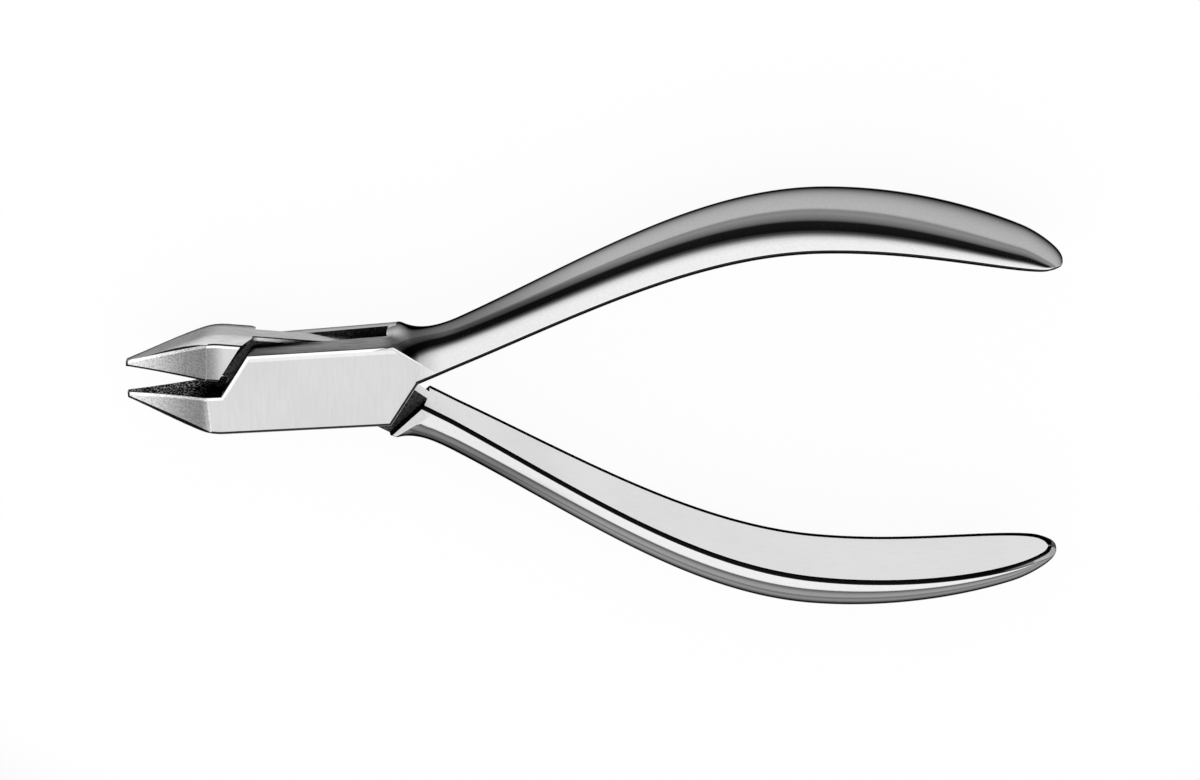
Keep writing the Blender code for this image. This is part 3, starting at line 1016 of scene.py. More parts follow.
haze.links.new(given.outputs["Least"], reach.inputs["To Min"])
haze.links.new(given.outputs["Most"], reach.inputs["To Max"])
haze.links.new(reach.outputs["Result"], made.inputs["Roughness"])
print("group:", haze.name)

# %% [markdown]
# ## Change along the steel
# Several finishes change from one place to another: a facet has painted shade that makes
# it darker towards the joint, and the satin of the joint runs out on the handle. This group
# puts out a value that goes softly from one number to another along a chosen axis.

# %% Change group
change, given, made = new_group(
    "change_along",
    [("Axis", DIRECTION, (1.0, 0.0, 0.0)), ("Start", NUMBER, 0.0), ("End", NUMBER, 0.01),
     ("From Value", NUMBER, 0.0), ("To Value", NUMBER, 1.0)],
    [("Value", NUMBER)])
along_axis = add_node(change, "ShaderNodeVectorMath", operation="DOT_PRODUCT")
change.links.new(add_node(change, "ShaderNodeTexCoord").outputs["Object"], along_axis.inputs[0])
change.links.new(given.outputs["Axis"], along_axis.inputs[1])
reach = add_node(change, "ShaderNodeMapRange", interpolation_type="SMOOTHSTEP")
change.links.new(along_axis.outputs["Value"], reach.inputs["Value"])
for group_socket, node_socket in (("Start", "From Min"), ("End", "From Max"),
                                  ("From Value", "To Min"), ("To Value", "To Max")):
    change.links.new(given.outputs[group_socket], reach.inputs[node_socket])
change.links.new(reach.outputs["Result"], made.inputs["Value"])
print("group:", change.name)

# %% [markdown]
# ## Painted lines on the jaws
# The jaws' facets are ground after everything else, so their edges have no layer of their
# own in the mesh. A group marks a narrow band beside a straight edge instead, for a painted
# dark line or a painted highlight: it measures the distance from a plane, given by its
# normal and its offset from the origin.

# %% Edge band group
BAND_BLUR = 0.00004
edge_band, given, made = new_group(
    "edge_band",
    [("Normal", DIRECTION, (0.0, 1.0, 0.0)), ("Offset", NUMBER, 0.0), ("From", NUMBER, 0.0),
     ("To", NUMBER, 0.0002)],
    [("Band", NUMBER)])
from_plane = add_node(edge_band, "ShaderNodeVectorMath", operation="DOT_PRODUCT")
edge_band.links.new(add_node(edge_band, "ShaderNodeTexCoord").outputs["Object"],
                    from_plane.inputs[0])
edge_band.links.new(given.outputs["Normal"], from_plane.inputs[1])
distance = math_node(edge_band, "SUBTRACT", from_plane.outputs["Value"], given.outputs["Offset"])
past_start = math_node(edge_band, "SUBTRACT", distance, given.outputs["From"])
past_start = math_node(edge_band, "DIVIDE", past_start, BAND_BLUR, clamp=True)
before_end = math_node(edge_band, "SUBTRACT", given.outputs["To"], distance)
before_end = math_node(edge_band, "DIVIDE", before_end, BAND_BLUR, clamp=True)
edge_band.links.new(math_node(edge_band, "MULTIPLY", past_start, before_end),
                    made.inputs["Band"])
print("group:", edge_band.name)

# %% [markdown]
# ## Placing the groups in a finish
# Every finish starts from the same metal. The shader's Specular Tint is the tone a metal
# has where it is seen almost edge on: dark on polished steel, and plain on satin steel. In
# the finishes below, a change is written as its axis, where it starts and ends, and its
# values there. Marks are written as their number to a metre along each axis, and their
# contrast. Haze is written as its clouds to a metre, its least and its most roughness.

# %% Placing the groups
def place_group(tree, group, **values):
    """The group in a material, with its own values; returns its outputs."""
    node = add_node(tree, "ShaderNodeGroup", node_tree=group)
    for name, value in values.items():
        node.inputs[name.replace("_", " ")].default_value = value
    return node.outputs


def marks_in(tree, stretch, contrast):
    return place_group(tree, tool_marks, Stretch=stretch, Contrast=contrast)


def haze_in(tree, clouds, least, most):
    return place_group(tree, haze, Clouds=clouds, Least=least, Most=most)["Roughness"]


def change_in(tree, axis, start, end, from_value, to_value):
    outputs = place_group(tree, change, Axis=axis, Start=start, End=end,
                          From_Value=from_value, To_Value=to_value)
    return outputs["Value"]


def steel(name, edge_tint, roughness=None):
    """Start a finish: a metal that reflects less where it is seen from the side."""
    tree = finishes[name].node_tree
    shader = tree.nodes["Principled BSDF"]
    shader.inputs["Metallic"].default_value = 1.0
    shader.inputs["Specular Tint"].default_value = (edge_tint, edge_tint, edge_tint, 1)
    if roughness is not None:
        shader.inputs["Roughness"].default_value = roughness
    return tree, shader


def feed(tree, shader, **outputs):
    """Link outputs to the shader's own sockets."""
    for name, output in outputs.items():
        tree.links.new(output, shader.inputs[name.replace("_", " ")])


def add_bump(tree, shader, height, depth, strength):
    bump = add_node(tree, "ShaderNodeBump")
    bump.inputs["Distance"].default_value = depth
    bump.inputs["Strength"].default_value = strength
    tree.links.new(height, bump.inputs["Height"])
    tree.links.new(bump.outputs["Normal"], shader.inputs["Normal"])


ALONG_X = (1.0, 0.0, 0.0)
ALONG_Y = (0.0, 1.0, 0.0)
ALONG_Z = (0.0, 0.0, 1.0)
DARK_RIM = 0.0
PLAIN_RIM = 1.0
print("finishes to make:", len(finishes))

# %% [markdown]
# ## Where the bands lie
# A band is given by an edge: two corners of a limb's outline, and a third one that says
# on which side of the line the steel is. The corners are turned as the limb is at rest.

# %% Edges with a band
def at_rest(outline, corners, side):
    """Each named corner of a limb's outline, where the limb lies at rest."""
    turn = side * OPENING / 2
    places = {}
    for name, (x, y) in zip(corners, outline):
        places[name] = Vector((x * math.cos(turn) - y * math.sin(turn),
                               x * math.sin(turn) + y * math.cos(turn), 0.0))
    return places


def edge_of(limb, *names):
    return tuple(limb[name] for name in names)


def edge_plane(edge):
    """Normal of the upright plane through an edge, towards its third corner, and its offset."""
    first, second, inner = edge
    normal = (second - first).cross(Vector(ALONG_Z)).normalized()
    if normal.dot(inner - first) < 0:
        normal = -normal
    return normal, normal.dot(first)


def band_in(tree, edge, start, end):
    """A band along an edge, between two distances from it."""
    normal, offset = edge_plane(edge)
    outputs = place_group(tree, edge_band, Normal=normal, Offset=offset, From=start, To=end)
    return outputs["Band"]


# The dark bands are painted dark lines, and the bright one is a painted highlight.
DARK_BAND = 0.00033             # widths of the stoned bands and the bright one
FINE_BAND = 0.00004
BRIGHT_BAND = 0.00045
lower = at_rest(box_outline(0), BOX_CORNERS, 1)
upper = at_rest(tongue_outline(0), TONGUE_CORNERS, -1)
ROOT_EDGE = edge_of(lower, "handle_side", "handle_top", "jaw_curve_0")
TOP_EDGE = edge_of(lower, "handle_top", "top_corner", "jaw_curve_0")
PLATE_SLANT = edge_of(lower, "top_corner", "top_foot", "low_foot")
LOWER_BACK = edge_of(lower, "tip_low", "jaw_curve_0", "top_foot")
LOWER_GRIP = edge_of(lower, "tip_top", "top_foot", "jaw_curve_0")
LOWER_TIP = edge_of(lower, "tip_top", "tip_low", "jaw_curve_0")
UPPER_BACK = edge_of(upper, "tip_top", "jaw_curve_4", "foot")
UPPER_GRIP = edge_of(upper, "tip_low", "foot", "jaw_curve_4")
UPPER_TIP = edge_of(upper, "tip_top", "tip_low", "jaw_curve_4")
# Edges of the facets with a painted dark line, and two with a painted highlight.
DARK_EDGES = ((LOWER_BACK, DARK_BAND), (UPPER_GRIP, DARK_BAND), (LOWER_TIP, DARK_BAND),
              (UPPER_TIP, DARK_BAND), (UPPER_BACK, FINE_BAND))
BRIGHT_EDGES = (LOWER_GRIP, UPPER_BACK)
print("bands on the facets:", len(DARK_EDGES) + len(BRIGHT_EDGES))

# %% [markdown]
# ## Polished backs of the handles
# The backs are buffed to a near mirror. What shows on them is mostly the room, so they
# need little: a hint of the buffing grain, haze, and a rim that turns dark where the steel
# is seen almost edge on. Near the joint shade is painted in: the root is a shade darker
# than the grip, and the outer side of each root darker still. The upper handle has painted
# shade in a band beside the joint's flat, and a weaker one across its root. Behind the
# front plate it has a painted highlight, as bright as the side of the back plate that it
# goes on from.

# %% Polished back
POLISHED = 0.53
BUFFING_MARKS = ((2300.0, 4200.0, 4200.0), 0.06)
POLISHED_HAZE = (170.0, 0.05, 0.09)
# Painted shade: the root is a shade darker than the grip, and the outer side of each root and the
# upper handle's root darker still.
ROOT_TO_GRIP = (ALONG_X, 0.016, 0.050, 0.82, 0.86)
ROOT_LEAN = math.radians(24)                        # direction of a handle at its root
DARK_OUTWARDS = (-0.0012, 0.0006, 0.0, 0.62)        # square to that direction
DARK_BEGINS = (ALONG_X, 0.0104, 0.0126, 0.0, 1.0)
DARK_ENDS = (ALONG_X, 0.0165, 0.0400, 1.0, 0.0)
UPPER_HANDLE = (ALONG_Y, 0.0004, 0.0014, 0.0, 1.0)
BESIDE_FLAT = (0.0004, 0.0021)                      # distances from the joint's flat
BESIDE_FLAT_DARK = 0.86                             # share of the light that is lost there
BESIDE_FLAT_ENDS = (ALONG_X, 0.0126, 0.0144, 1.0, 0.0)
DIP_BEGINS = (ALONG_X, 0.0104, 0.0126, 0.0, 0.42)   # and a weaker loss across the root
DIP_ENDS = (ALONG_X, 0.0126, 0.0172, 1.0, 0.0)
# Painted highlight on the upper handle's root, behind the front plate.
ROOT_HIGHLIGHT_ENDS = (ALONG_X, 0.0096, 0.0117, 0.50, 0.0)
ROOT_HIGHLIGHT_DEPTH = (ALONG_Z, -0.0028, -0.0012, 1.0, 0.1)

tree, shader = steel("polished_back", DARK_RIM)
grain = marks_in(tree, *BUFFING_MARKS)
shade = change_in(tree, *ROOT_TO_GRIP)
for side in (1, -1):
    outward = (-math.sin(ROOT_LEAN), side * math.cos(ROOT_LEAN), 0.0)
    dark = product(tree, change_in(tree, outward, *DARK_OUTWARDS),
                   change_in(tree, *DARK_BEGINS), change_in(tree, *DARK_ENDS))
    shade = without(tree, shade, dark)
inward, offset = edge_plane(ROOT_EDGE)
near, far = (distance - offset for distance in BESIDE_FLAT)
beside_flat = product(tree, change_in(tree, -inward, near, far, BESIDE_FLAT_DARK, 0.0),
                      change_in(tree, *BESIDE_FLAT_ENDS))
dip = product(tree, change_in(tree, *DIP_BEGINS), change_in(tree, *DIP_ENDS))
upper_handle = change_in(tree, *UPPER_HANDLE)
dip = product(tree, math_node(tree, "MAXIMUM", dip, beside_flat), upper_handle)
tone = product(tree, grain["Shade"], without(tree, shade, dip), POLISHED)
root_highlight = product(tree, change_in(tree, *ROOT_HIGHLIGHT_ENDS), change_in(tree, *ROOT_HIGHLIGHT_DEPTH), upper_handle)
feed(tree, shader, Base_Color=total(tree, tone, root_highlight), Roughness=haze_in(tree, *POLISHED_HAZE))
print("polished back", POLISHED)

# %% [markdown]
# ## Satin faces
# The handles' inner faces and the joint's faces come off a fine belt. On the joint it ran
# across the pliers, on the handles along them. Both are plain pale satin from a distance,
# and the lines only show close up. The upper limb's flat has painted shade beside the
# jaws, with a grit grain in it, darker towards the facet, and the front plate's face has a
# painted highlight as a paler rim along its two upper edges.

# %% Satin faces of the handles
SATIN = 0.80
SATIN_MARKS = ((500.0, 900.0, 7000.0), 0.045)
SATIN_HAZE = (90.0, 0.35, 0.41)

tree, shader = steel("satin_flat", PLAIN_RIM)
tone = product(tree, marks_in(tree, *SATIN_MARKS)["Shade"], SATIN)
feed(tree, shader, Base_Color=tone, Roughness=haze_in(tree, *SATIN_HAZE))
print("satin", SATIN)

# %% Ground faces of the joint
GROUND = 0.40
GROUND_MARKS = ((2300.0, 240.0, 2300.0), 0.045)
GROUND_HAZE = (110.0, 0.38, 0.43)
GROUND_BUMP = (0.000004, 0.5)                       # depth and strength
# Painted shade on the upper jaw's flat, darker towards the facet, with a grit grain in it.
SHADE_GRIT_GRAIN = ((3900.0, 3900.0, 3900.0), 0.30)
SHADE_NEAR_FACET_ENDS = (ALONG_X, -0.0149, -0.0122, 0.60, 0.0)
UPPER_LIMB = (ALONG_Y, 0.0, 0.0006, 0.0, 1.0)
# Painted highlight: a paler rim along the front plate's two upper edges.
RIM_LIGHT = 0.095
TOP_RIM = 0.00092                                   # widths of the paler rim
SLANT_RIM = 0.00055
RIM_BLUR = 0.0003

tree, shader = steel("ground_face", PLAIN_RIM)
lines = marks_in(tree, *GROUND_MARKS)
facet_shade_and_grit = product(tree, change_in(tree, *SHADE_NEAR_FACET_ENDS), change_in(tree, *UPPER_LIMB),
                marks_in(tree, *SHADE_GRIT_GRAIN)["Shade"])
tone = without(tree, product(tree, lines["Shade"], GROUND), facet_shade_and_grit)
corner = lower["top_corner"]
foot = lower["top_foot"]
rim_blend = math_node(
    tree, "MAXIMUM",
    product(tree, band_in(tree, TOP_EDGE, 0.0, TOP_RIM),
            change_in(tree, ALONG_X, corner.x, corner.x + RIM_BLUR, 0.0, 1.0)),
    product(tree, band_in(tree, PLATE_SLANT, 0.0, SLANT_RIM),
            change_in(tree, ALONG_Y, foot.y, foot.y + RIM_BLUR, 0.0, 1.0)))
tone = total(tree, tone, product(tree, rim_blend, RIM_LIGHT))
feed(tree, shader, Base_Color=tone, Roughness=haze_in(tree, *GROUND_HAZE))
add_bump(tree, shader, lines["Height"], *GROUND_BUMP)
print("ground", GROUND)

# %% [markdown]
# ## Where the joint's face runs out
# The flat of the joint goes on as a narrow strip at the foot of the handle's back. It is
# satin beside the joint, and the polishing wheel has taken it over a little further along.

# %% Run-out of the joint's face
RUN_OUT_MARKS = ((2600.0, 110.0, 2600.0), 0.05)
RUN_OUT_TONE = (ALONG_X, 0.0135, 0.0175, GROUND, POLISHED)
RUN_OUT_ROUGHNESS = (ALONG_X, 0.0135, 0.0200, 0.40, 0.09)
# Painted highlight: a thin paler rim along the edge of the joint's flat, fading out along the
# handle.
RUN_OUT_RIM = 0.00018
RUN_OUT_RIM_LIGHT = (ALONG_X, 0.0130, 0.0144, 0.14, 0.0)

tree, shader = steel("face_run_out", PLAIN_RIM)
rim = product(tree, band_in(tree, ROOT_EDGE, 0.0, RUN_OUT_RIM),
              change_in(tree, *RUN_OUT_RIM_LIGHT))
tone = total(tree, change_in(tree, *RUN_OUT_TONE), rim)
tone = product(tree, marks_in(tree, *RUN_OUT_MARKS)["Shade"], tone)
feed(tree, shader, Base_Color=tone, Roughness=change_in(tree, *RUN_OUT_ROUGHNESS))
print("run-out from", GROUND, "to", POLISHED)

# %% [markdown]
# ## Jaw facets
# The facets are blasted with fine grit after grinding, so that they don't glare under a
# dentist's lamp. The grain is coarse enough to see. Painted shade makes them darker
# towards the joint, and a painted highlight lightens the lower facet at its inner end. Two
# of their edges have a painted highlight, and most have a painted dark line.

# %% Jaw facets
FACET_ROUGHNESS = 0.42
FACET_GRIT = ((3900.0, 3900.0, 3900.0), 0.42)
FACET_BUMP = (0.00002, 0.6)
# Painted shade towards the joint, and a painted highlight at the lower facet's inner end.
FACET_TONE = (ALONG_X, -0.0265, -0.0165, 0.60, 0.23)
FACET_END_LIGHT = (ALONG_X, -0.0163, -0.0148, 0.0, 0.30)
LOWER_LIMB = (ALONG_Y, 0.0, 0.0006, 1.0, 0.0)
# Painted highlight on two edges, and painted dark lines on the rest.
BRIGHT_LINE = 0.30
PAST_TIP = -0.001               # a dark band starts outside the edge, so that nothing is left
PAINTED_DARK_REST = 0.02              # share of the light that it leaves

tree, shader = steel("jaw_facet", PLAIN_RIM, FACET_ROUGHNESS)
grain = marks_in(tree, *FACET_GRIT)
end_light = product(tree, change_in(tree, *FACET_END_LIGHT), change_in(tree, *LOWER_LIMB))
tone = total(tree, change_in(tree, *FACET_TONE), end_light)
for edge in BRIGHT_EDGES:
    bright = band_in(tree, edge, 0.0, BRIGHT_BAND)
    tone = total(tree, tone, product(tree, bright, BRIGHT_LINE))
tone = product(tree, grain["Shade"], tone)
for edge, width in DARK_EDGES:
    dark = band_in(tree, edge, PAST_TIP, width)
    left = math_node(tree, "SUBTRACT", 1.0 + PAINTED_DARK_REST, dark, clamp=True)
    tone = product(tree, tone, left)
feed(tree, shader, Base_Color=tone)
add_bump(tree, shader, grain["Height"], *FACET_BUMP)
print("facets with", len(DARK_EDGES), "stoned edges")

# %% [markdown]
# ## Gripping faces and recesses
# The faces that hold the wire are roughened with coarse grit, so they sparkle in specks.
# Between the specks their colour is painted nearly black, as painted shade, darker still
# towards the joint. The slot and the recess beside the tongue are left as the cutter made
# them. Their colour is painted nearly black too, as painted shade, and a painted highlight
# lies along the upper rim of the front recess, just behind the plate.

# %% Gripping faces
GRIP_ROUGHNESS = 0.50
GRIP_GRIT = ((3300.0, 3300.0, 3300.0), 0.0)         # only its height is used
GRIP_BUMP = (0.00006, 0.8)
# Painted shade: the low end of these tones is nearly black, and GRIP_TONE darkens it further
# towards the joint.
SPECKS = (0.48, 0.64, 0.015, 0.60)                  # from grit height to tone
GRIP_TONE = (ALONG_X, -0.0190, -0.0150, 1.0, 0.20)

tree, shader = steel("jaw_gripping_face", DARK_RIM, GRIP_ROUGHNESS)
grain = marks_in(tree, *GRIP_GRIT)
specks = range_node(tree, grain["Height"], *SPECKS, "SMOOTHSTEP")
feed(tree, shader, Base_Color=product(tree, specks, change_in(tree, *GRIP_TONE), clamp=True))
add_bump(tree, shader, grain["Height"], *GRIP_BUMP)
print("gripping faces: tones", SPECKS[2], "to", SPECKS[3])

# %% Recesses
# Painted shade: the slot and the recesses are coloured nearly black.
RECESS = 0.030
RECESS_ROUGHNESS = 0.45
RECESS_MARKS = ((3000.0, 3000.0, 900.0), 0.30)
RECESS_BUMP = (0.00003, 0.5)
CUTTER_MARKS = ((2900.0, 2900.0, 1500.0), 1.20)
# Painted highlight along the upper rim of the front recess, just behind the plate.
LIT_BAND = (-0.00068, -0.00018)                     # distances from the crowned edge
LIT_DEPTH = (ALONG_Z, -0.0036, -0.0030, 0.0, 1.0)
LIT_BEGINS = (ALONG_X, -0.0092, -0.0082, 0.0, 1.0)
LIT_FADES = (ALONG_X, -0.0070, -0.0018, 0.52, 0.10)

tree, shader = steel("recess_steel", DARK_RIM, RECESS_ROUGHNESS)
grain = marks_in(tree, *RECESS_MARKS)
upper_limb_up = (math.sin(OPENING / 2), math.cos(OPENING / 2), 0.0)
rim = place_group(tree, edge_band, Normal=upper_limb_up, Offset=HALF_HEIGHT + CROWN,
                  From=LIT_BAND[0], To=LIT_BAND[1])["Band"]
lit = product(tree, rim, change_in(tree, *LIT_DEPTH), change_in(tree, *LIT_BEGINS),
              change_in(tree, *LIT_FADES), grain["Shade"])
tone = product(tree, marks_in(tree, *CUTTER_MARKS)["Shade"], RECESS, clamp=True)
feed(tree, shader, Base_Color=total(tree, lit, tone, clamp=True))
add_bump(tree, shader, grain["Height"], *RECESS_BUMP)
print("recesses", RECESS)

# %% [markdown]
# ## Sides of the joint
# Between the faces and the slot the box's crowned sides are only scoured, and their light
# and shade are painted. The front plate's side is dark, as painted shade, beside the slot's
# front edge and towards both ends, and gets lighter towards the face. The back plate's side
# has a painted highlight, but for its rear rim in painted shade, and so has the spot where
# the slot ends. The upper jaw's back has a fine lengthwise grain, and painted shade beside
# its rear facet.

# %% Sides of the joint
SIDE_ROUGHNESS = 0.30
SIDE_MARKS = ((260.0, 3000.0, 3600.0), 0.30)
# Painted shade and highlights: the plates' side tones, the back plate's dark rear rim, darker ends,
# a dark band beside the slot's front edge, and light where the slot ends.
FRONT_PLATE = (ALONG_Z, SLOT_FRONT_Z, 0.0, 0.27, 0.23)
BACK_PLATE = (ALONG_Z, SLOT_BACK_Z, SLOT_FRONT_Z, 0.90, 0.0)
REAR_RIM = (ALONG_Z, -0.0078, -0.0066, 0.12, 1.0)
DARKER_LEFT = (ALONG_X, -0.010, 0.001, 0.45, 1.0)
DARKER_RIGHT = (ALONG_X, 0.0078, 0.0104, 1.0, 0.50)
SLOT_EDGE = (ALONG_Z, -0.0017, -0.0011, 0.92, 0.0)
SLOT_EDGE_ENDS = (ALONG_X, -0.0040, 0.0030, 1.0, 0.0)
SLOT_END_LIGHT = (ALONG_Z, -0.0026, -0.0016, 0.45, 0.0)
SLOT_END_FROM = (ALONG_X, 0.0084, 0.0090, 0.0, 1.0)

tree, shader = steel("joint_side", DARK_RIM, SIDE_ROUGHNESS)
lighter = product(tree, change_in(tree, *DARKER_LEFT), change_in(tree, *DARKER_RIGHT))
slot_edge = product(tree, change_in(tree, *SLOT_EDGE), change_in(tree, *SLOT_EDGE_ENDS))
front = product(tree, change_in(tree, *FRONT_PLATE), without(tree, lighter, slot_edge))
back = product(tree, change_in(tree, *BACK_PLATE), change_in(tree, *REAR_RIM))
end_light = product(tree, change_in(tree, *SLOT_END_LIGHT), change_in(tree, *SLOT_END_FROM))
tone = total(tree, total(tree, front, back), end_light)
tone = product(tree, marks_in(tree, *SIDE_MARKS)["Shade"], tone, clamp=True)
feed(tree, shader, Base_Color=tone)
print("sides of the joint done")

# %% Back of the upper jaw
JAW_BACK = 0.74
JAW_BACK_MARKS = ((420.0, 3000.0, 4200.0), 0.16)
JAW_BACK_HAZE = (260.0, 0.22, 0.30)
# Painted shade beside the upper jaw's rear facet.
REAR_SHADE_WIDTH = 0.0011
REAR_SHADE_REST = 0.08                # share of the light that is left at the rear facet

tree, shader = steel("jaw_back", DARK_RIM)
facet_line = Vector((-(JAW_LENGTH - JAW_TAPER_START), 0.0,
                     (JOINT_THICKNESS - JAW_TIP_WIDTH) / 2))
forward = facet_line.cross(Vector(ALONG_Y)).normalized()
if forward.z < 0:
    forward = -forward
offset = forward.dot(Vector((-JAW_TAPER_START, 0.0, -JOINT_THICKNESS)))
rear_shade = change_in(tree, forward, offset, offset + REAR_SHADE_WIDTH, REAR_SHADE_REST, 1.0)
tone = product(tree, marks_in(tree, *JAW_BACK_MARKS)["Shade"], JAW_BACK, rear_shade)
feed(tree, shader, Base_Color=tone, Roughness=haze_in(tree, *JAW_BACK_HAZE))
print("jaw back", JAW_BACK)

# %% [markdown]
# ## Edges
# Every edge is broken by hand with a stone. The broken edge is narrow and matt, and its
# colour is painted almost black, a painted dark line round each face. The eased rim just
# inside it, on the joint's faces, is bright, because it leans towards the light.

# %% Edges
# Painted shade: the stoned edges are coloured almost black, a dark line round each face.
PAINTED_DARK = 0.018
PAINTED_DARK_ROUGHNESS = 0.30
PAINTED_DARK_MARKS = ((5000.0, 5000.0, 5000.0), 0.30)
EASED = 0.58
EASED_ROUGHNESS = 0.25
EASED_MARKS = ((3000.0, 3000.0, 3000.0), 0.05)

tree, shader = steel("painted_dark_edge", DARK_RIM, PAINTED_DARK_ROUGHNESS)
tone = product(tree, marks_in(tree, *PAINTED_DARK_MARKS)["Shade"], PAINTED_DARK, clamp=True)
feed(tree, shader, Base_Color=tone)

tree, shader = steel("eased_edge", PLAIN_RIM, EASED_ROUGHNESS)
feed(tree, shader, Base_Color=product(tree, marks_in(tree, *EASED_MARKS)["Shade"], EASED))
print("stoned edge", PAINTED_DARK, "eased edge", EASED)

# %% [markdown]
# ## End of the pin
# The pin's end was faced on a lathe before it went in, and ground with the joint after.
# What is left are faint rings round its middle: a sine of the distance from the axis.

# %% Pin end
PIN_RINGS = 9000.0
PIN_TONES = (-1.0, 1.0, 0.42, 0.52)                 # from the sine to the tone
PIN_MARKS = ((2600.0, 110.0, 2600.0), 0.1)
PIN_ROUGHNESS = 0.32

tree, shader = steel("pin_end", PLAIN_RIM)
flat_place = add_node(tree, "ShaderNodeVectorMath", operation="MULTIPLY")
flat_place.inputs[1].default_value = (1.0, 1.0, 0.0)
tree.links.new(add_node(tree, "ShaderNodeTexCoord").outputs["Object"], flat_place.inputs[0])
radius = add_node(tree, "ShaderNodeVectorMath", operation="LENGTH")
tree.links.new(flat_place.outputs["Vector"], radius.inputs[0])
rings = math_node(tree, "SINE", product(tree, radius.outputs["Value"], PIN_RINGS))
feed(tree, shader, Base_Color=range_node(tree, rings, *PIN_TONES),
     Roughness=product(tree, marks_in(tree, *PIN_MARKS)["Shade"], PIN_ROUGHNESS))
print("finishes done")

# %% [markdown]
# ## Floor
# The pliers lie on a plain white table. Around them it is white, and a painted pool of light
# falls off to a pale grey well outside the picture, as a table does away from its lamps; the
# steel shows that fall as a soft gradient. Most of the white is the floor's own glow. Camera,
# glossy and transmission rays see it alike, so the steel mirrors the same white that the
# picture shows, and it lights nothing matt. The rest is ordinary diffuse white, which
# keeps the shadow.

# %% Floor
scene = bpy.context.scene
FLOOR_SIZE = 6.0
FLOOR_WHITE_TO = 0.066          # from the middle of the pliers, across them
FLOOR_LENGTHENED = 1.45         # and so much further along them
FLOOR_GREY_FROM = 0.115
FLOOR_FAR = 0.50
FLOOR_SQUARENESS = 4            # two would make the white patch an ellipse
FLOOR_GLOW = 0.92
floor_middle = Vector(((cad_bounds[0][0] + cad_bounds[1][0]) / 2, 0.0, cad_bounds[0][2]))
bpy.ops.mesh.primitive_plane_add(size=FLOOR_SIZE, location=floor_middle)
floor = bpy.context.object
floor.name = "floor"
floor_paint = bpy.data.materials.new("floor_white")
floor_paint.use_nodes = True
tree = floor_paint.node_tree
tree.nodes.clear()
where = add_node(tree, "ShaderNodeTexCoord").outputs["Object"]
axes = add_node(tree, "ShaderNodeSeparateXYZ")
tree.links.new(where, axes.inputs[0])
along = math_node(tree, "DIVIDE", axes.outputs["X"], FLOOR_LENGTHENED)
powers = total(tree, math_node(tree, "POWER", along, FLOOR_SQUARENESS),
               math_node(tree, "POWER", axes.outputs["Y"], FLOOR_SQUARENESS))
distance = math_node(tree, "POWER", powers, 1 / FLOOR_SQUARENESS)
shade = range_node(tree, distance, FLOOR_WHITE_TO, FLOOR_GREY_FROM, 1.0, FLOOR_FAR,
                   "SMOOTHSTEP")
matt = add_node(tree, "ShaderNodeBsdfDiffuse")
glow = add_node(tree, "ShaderNodeEmission")
tree.links.new(shade, matt.inputs["Color"])
tree.links.new(shade, glow.inputs["Color"])
ray = add_node(tree, "ShaderNodeLightPath").outputs
seen = total(tree, ray["Is Camera Ray"], ray["Is Glossy Ray"])
seen = total(tree, seen, ray["Is Transmission Ray"], clamp=True)
blend = add_node(tree, "ShaderNodeMixShader")
tree.links.new(product(tree, seen, FLOOR_GLOW), blend.inputs["Fac"])
tree.links.new(matt.outputs[0], blend.inputs[1])
tree.links.new(glow.outputs[0], blend.inputs[2])
surface = add_node(tree, "ShaderNodeOutputMaterial")
tree.links.new(blend.outputs[0], surface.inputs["Surface"])
floor.data.materials.append(floor_paint)
print("floor at", round(floor_middle.z * 1000, 1), "mm")

# %% [markdown]
# ## Light tent
# Polished steel has hardly any look of its own: it shows the room. Photographers put it
# in a tent of white cloth, and hang black and grey cloth in it where they want a dark
# line along a round edge. This tent is a half tunnel along the pliers. Its brightness
# depends on the angle round the X axis, from 0 at the side the camera leans to, over
# the top, to 180 at the other side. It falls off beyond the jaws, which darkens the
# facets towards the joint. It reaches further out beyond the handles, because their
# rounded ends show what hangs a long way off. Only reflections show the tent: it is
# hidden from the camera and puts no light on the floor.

# %% Tent form
TENT_RADIUS = 1.0
TENT_FROM = -1.8
TENT_TO = 5.4
TENT_STEPS = 64
tent_turns = [math.pi * step / TENT_STEPS for step in range(TENT_STEPS + 1)]
tent_points = [(along, TENT_RADIUS * math.cos(turn), TENT_RADIUS * math.sin(turn))
               for along in (TENT_FROM, TENT_TO) for turn in tent_turns]
row = len(tent_turns)
tent_mesh = bpy.data.meshes.new("tent")
tent_mesh.from_pydata(tent_points, [], [
    (step, step + 1, row + step + 1, row + step) for step in range(TENT_STEPS)])
tent = bpy.data.objects.new("tent", tent_mesh)
scene.collection.objects.link(tent)
tent.location = (0, 0, cad_bounds[0][2])
tent.visible_camera = False
tent.visible_diffuse = False
print(f"tent {TENT_TO - TENT_FROM:.1f} m long")

# %% Tent cloth
TENT_FULL = 2.0                 # brightness of a stop that is pure white
TENT_CLOTH = (                  # angle in degrees, brightness
    (0, 0.56), (7, 0.44), (15, 0.31), (19, 0.17), (22, 0.02), (43, 0.012), (50, 0.14),
    (56, 0.62), (62, 1.40), (70, 1.80), (78, 1.9), (151, 1.9), (154, 0.20), (159, 0.34),
    (166, 0.66), (180, 0.86))
TENT_FADE = (-1.20, -0.70, 0.10, 1.0)       # from X to the share of the light
cloth = bpy.data.materials.new("tent_cloth")
cloth.use_nodes = True
cloth.cycles.emission_sampling = "NONE"
tree = cloth.node_tree
tree.nodes.clear()
axes = add_node(tree, "ShaderNodeSeparateXYZ")
tree.links.new(add_node(tree, "ShaderNodeTexCoord").outputs["Object"], axes.inputs[0])
angle = math_node(tree, "ARCTAN2", axes.outputs["Z"], axes.outputs["Y"])
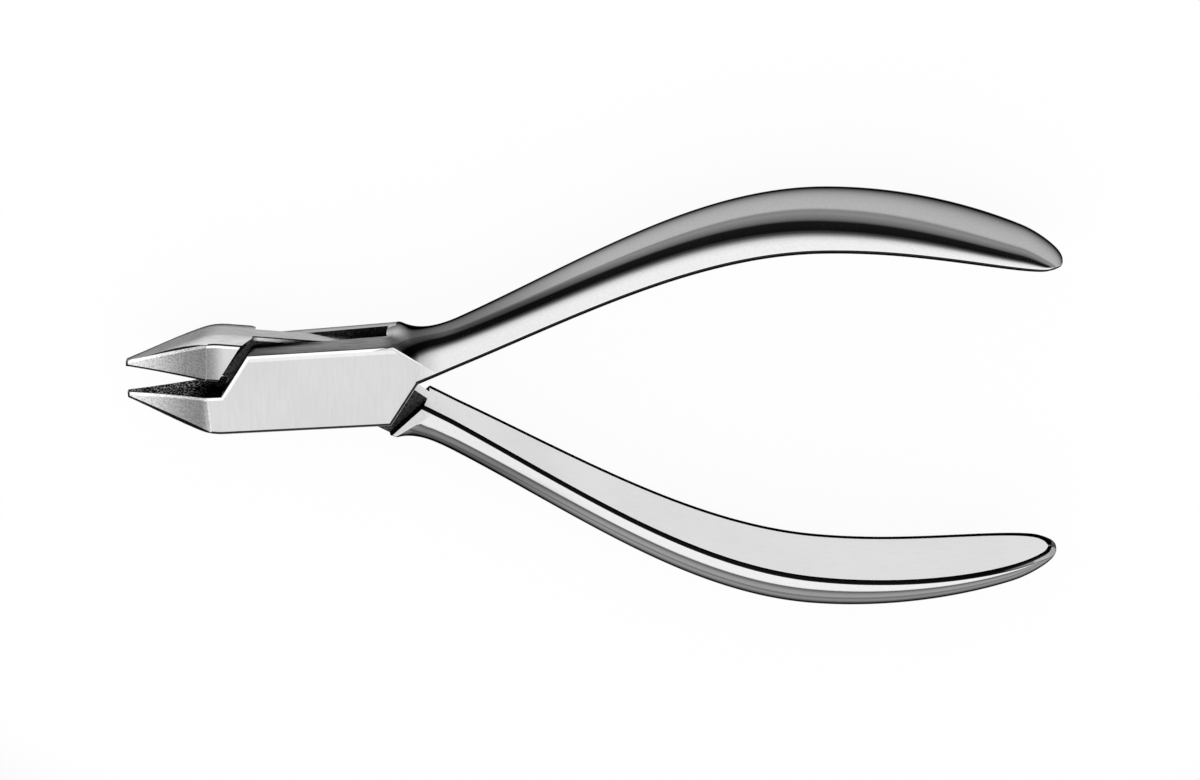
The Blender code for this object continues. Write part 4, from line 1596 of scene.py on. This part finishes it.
share = math_node(tree, "DIVIDE", angle, math.pi, clamp=True)
ramp = add_node(tree, "ShaderNodeValToRGB")
tree.links.new(share, ramp.inputs["Fac"])
stops = ramp.color_ramp.elements
while len(stops) < len(TENT_CLOTH):
    stops.new(0.5)              # all stops get their places below
for stop, (degrees, brightness) in zip(stops, TENT_CLOTH):
    stop.position = degrees / 180
    level = brightness / TENT_FULL
    stop.color = (level, level, level, 1)
fade = range_node(tree, axes.outputs["X"], *TENT_FADE, "SMOOTHSTEP")
glow = add_node(tree, "ShaderNodeEmission")
tree.links.new(ramp.outputs["Color"], glow.inputs["Color"])
tree.links.new(product(tree, fade, TENT_FULL), glow.inputs["Strength"])
surface = add_node(tree, "ShaderNodeOutputMaterial")
tree.links.new(glow.outputs[0], surface.inputs["Surface"])
tent_mesh.materials.append(cloth)
print("tent cloth:", len(TENT_CLOTH), "shades")

# %% [markdown]
# ## World
# A plain white world lights the floor evenly from all sides, as a white room would. A few
# lamps could light it too, but they would leave hard shadows that such a room doesn't.

# %% World
world = bpy.data.worlds.new("studio")
scene.world = world
world.use_nodes = True
background = world.node_tree.nodes["Background"]
background.inputs["Color"].default_value = (1, 1, 1, 1)
background.inputs["Strength"].default_value = 1.0
print("world:", world.name)

# %% [markdown]
# ## Camera
# The camera looks down on the pliers from about 600 mm away, through a long lens, leaning
# 23 degrees off the joint's axis. Its place and its three axes come from a fit to the
# corners of the joint and the edges of the handles, so they are given as they were found.

# %% Camera
SENSOR_WIDTH = 36.0
FOCAL_LENGTH = 134.46
camera_data = bpy.data.cameras.new("camera")
camera = bpy.data.objects.new("camera", camera_data)
scene.collection.objects.link(camera)
camera_data.sensor_width = SENSOR_WIDTH
camera_data.lens = FOCAL_LENGTH
CAMERA_PLACE = Vector((0.081866, 0.232353, 0.547183))
CAMERA_RIGHT = Vector((0.997171, -0.018071, -0.072962))
CAMERA_UP = Vector((-0.011774, 0.921138, -0.389058))
CAMERA_BACK = Vector((0.074239, 0.388816, 0.918319))
turn = Matrix((CAMERA_RIGHT, CAMERA_UP, CAMERA_BACK)).transposed()
camera.matrix_world = Matrix.Translation(CAMERA_PLACE) @ turn.to_4x4()
scene.camera = camera
scene.view_settings.view_transform = "Standard"
print(f"camera {CAMERA_PLACE.length * 1000:.0f} mm from the pivot")
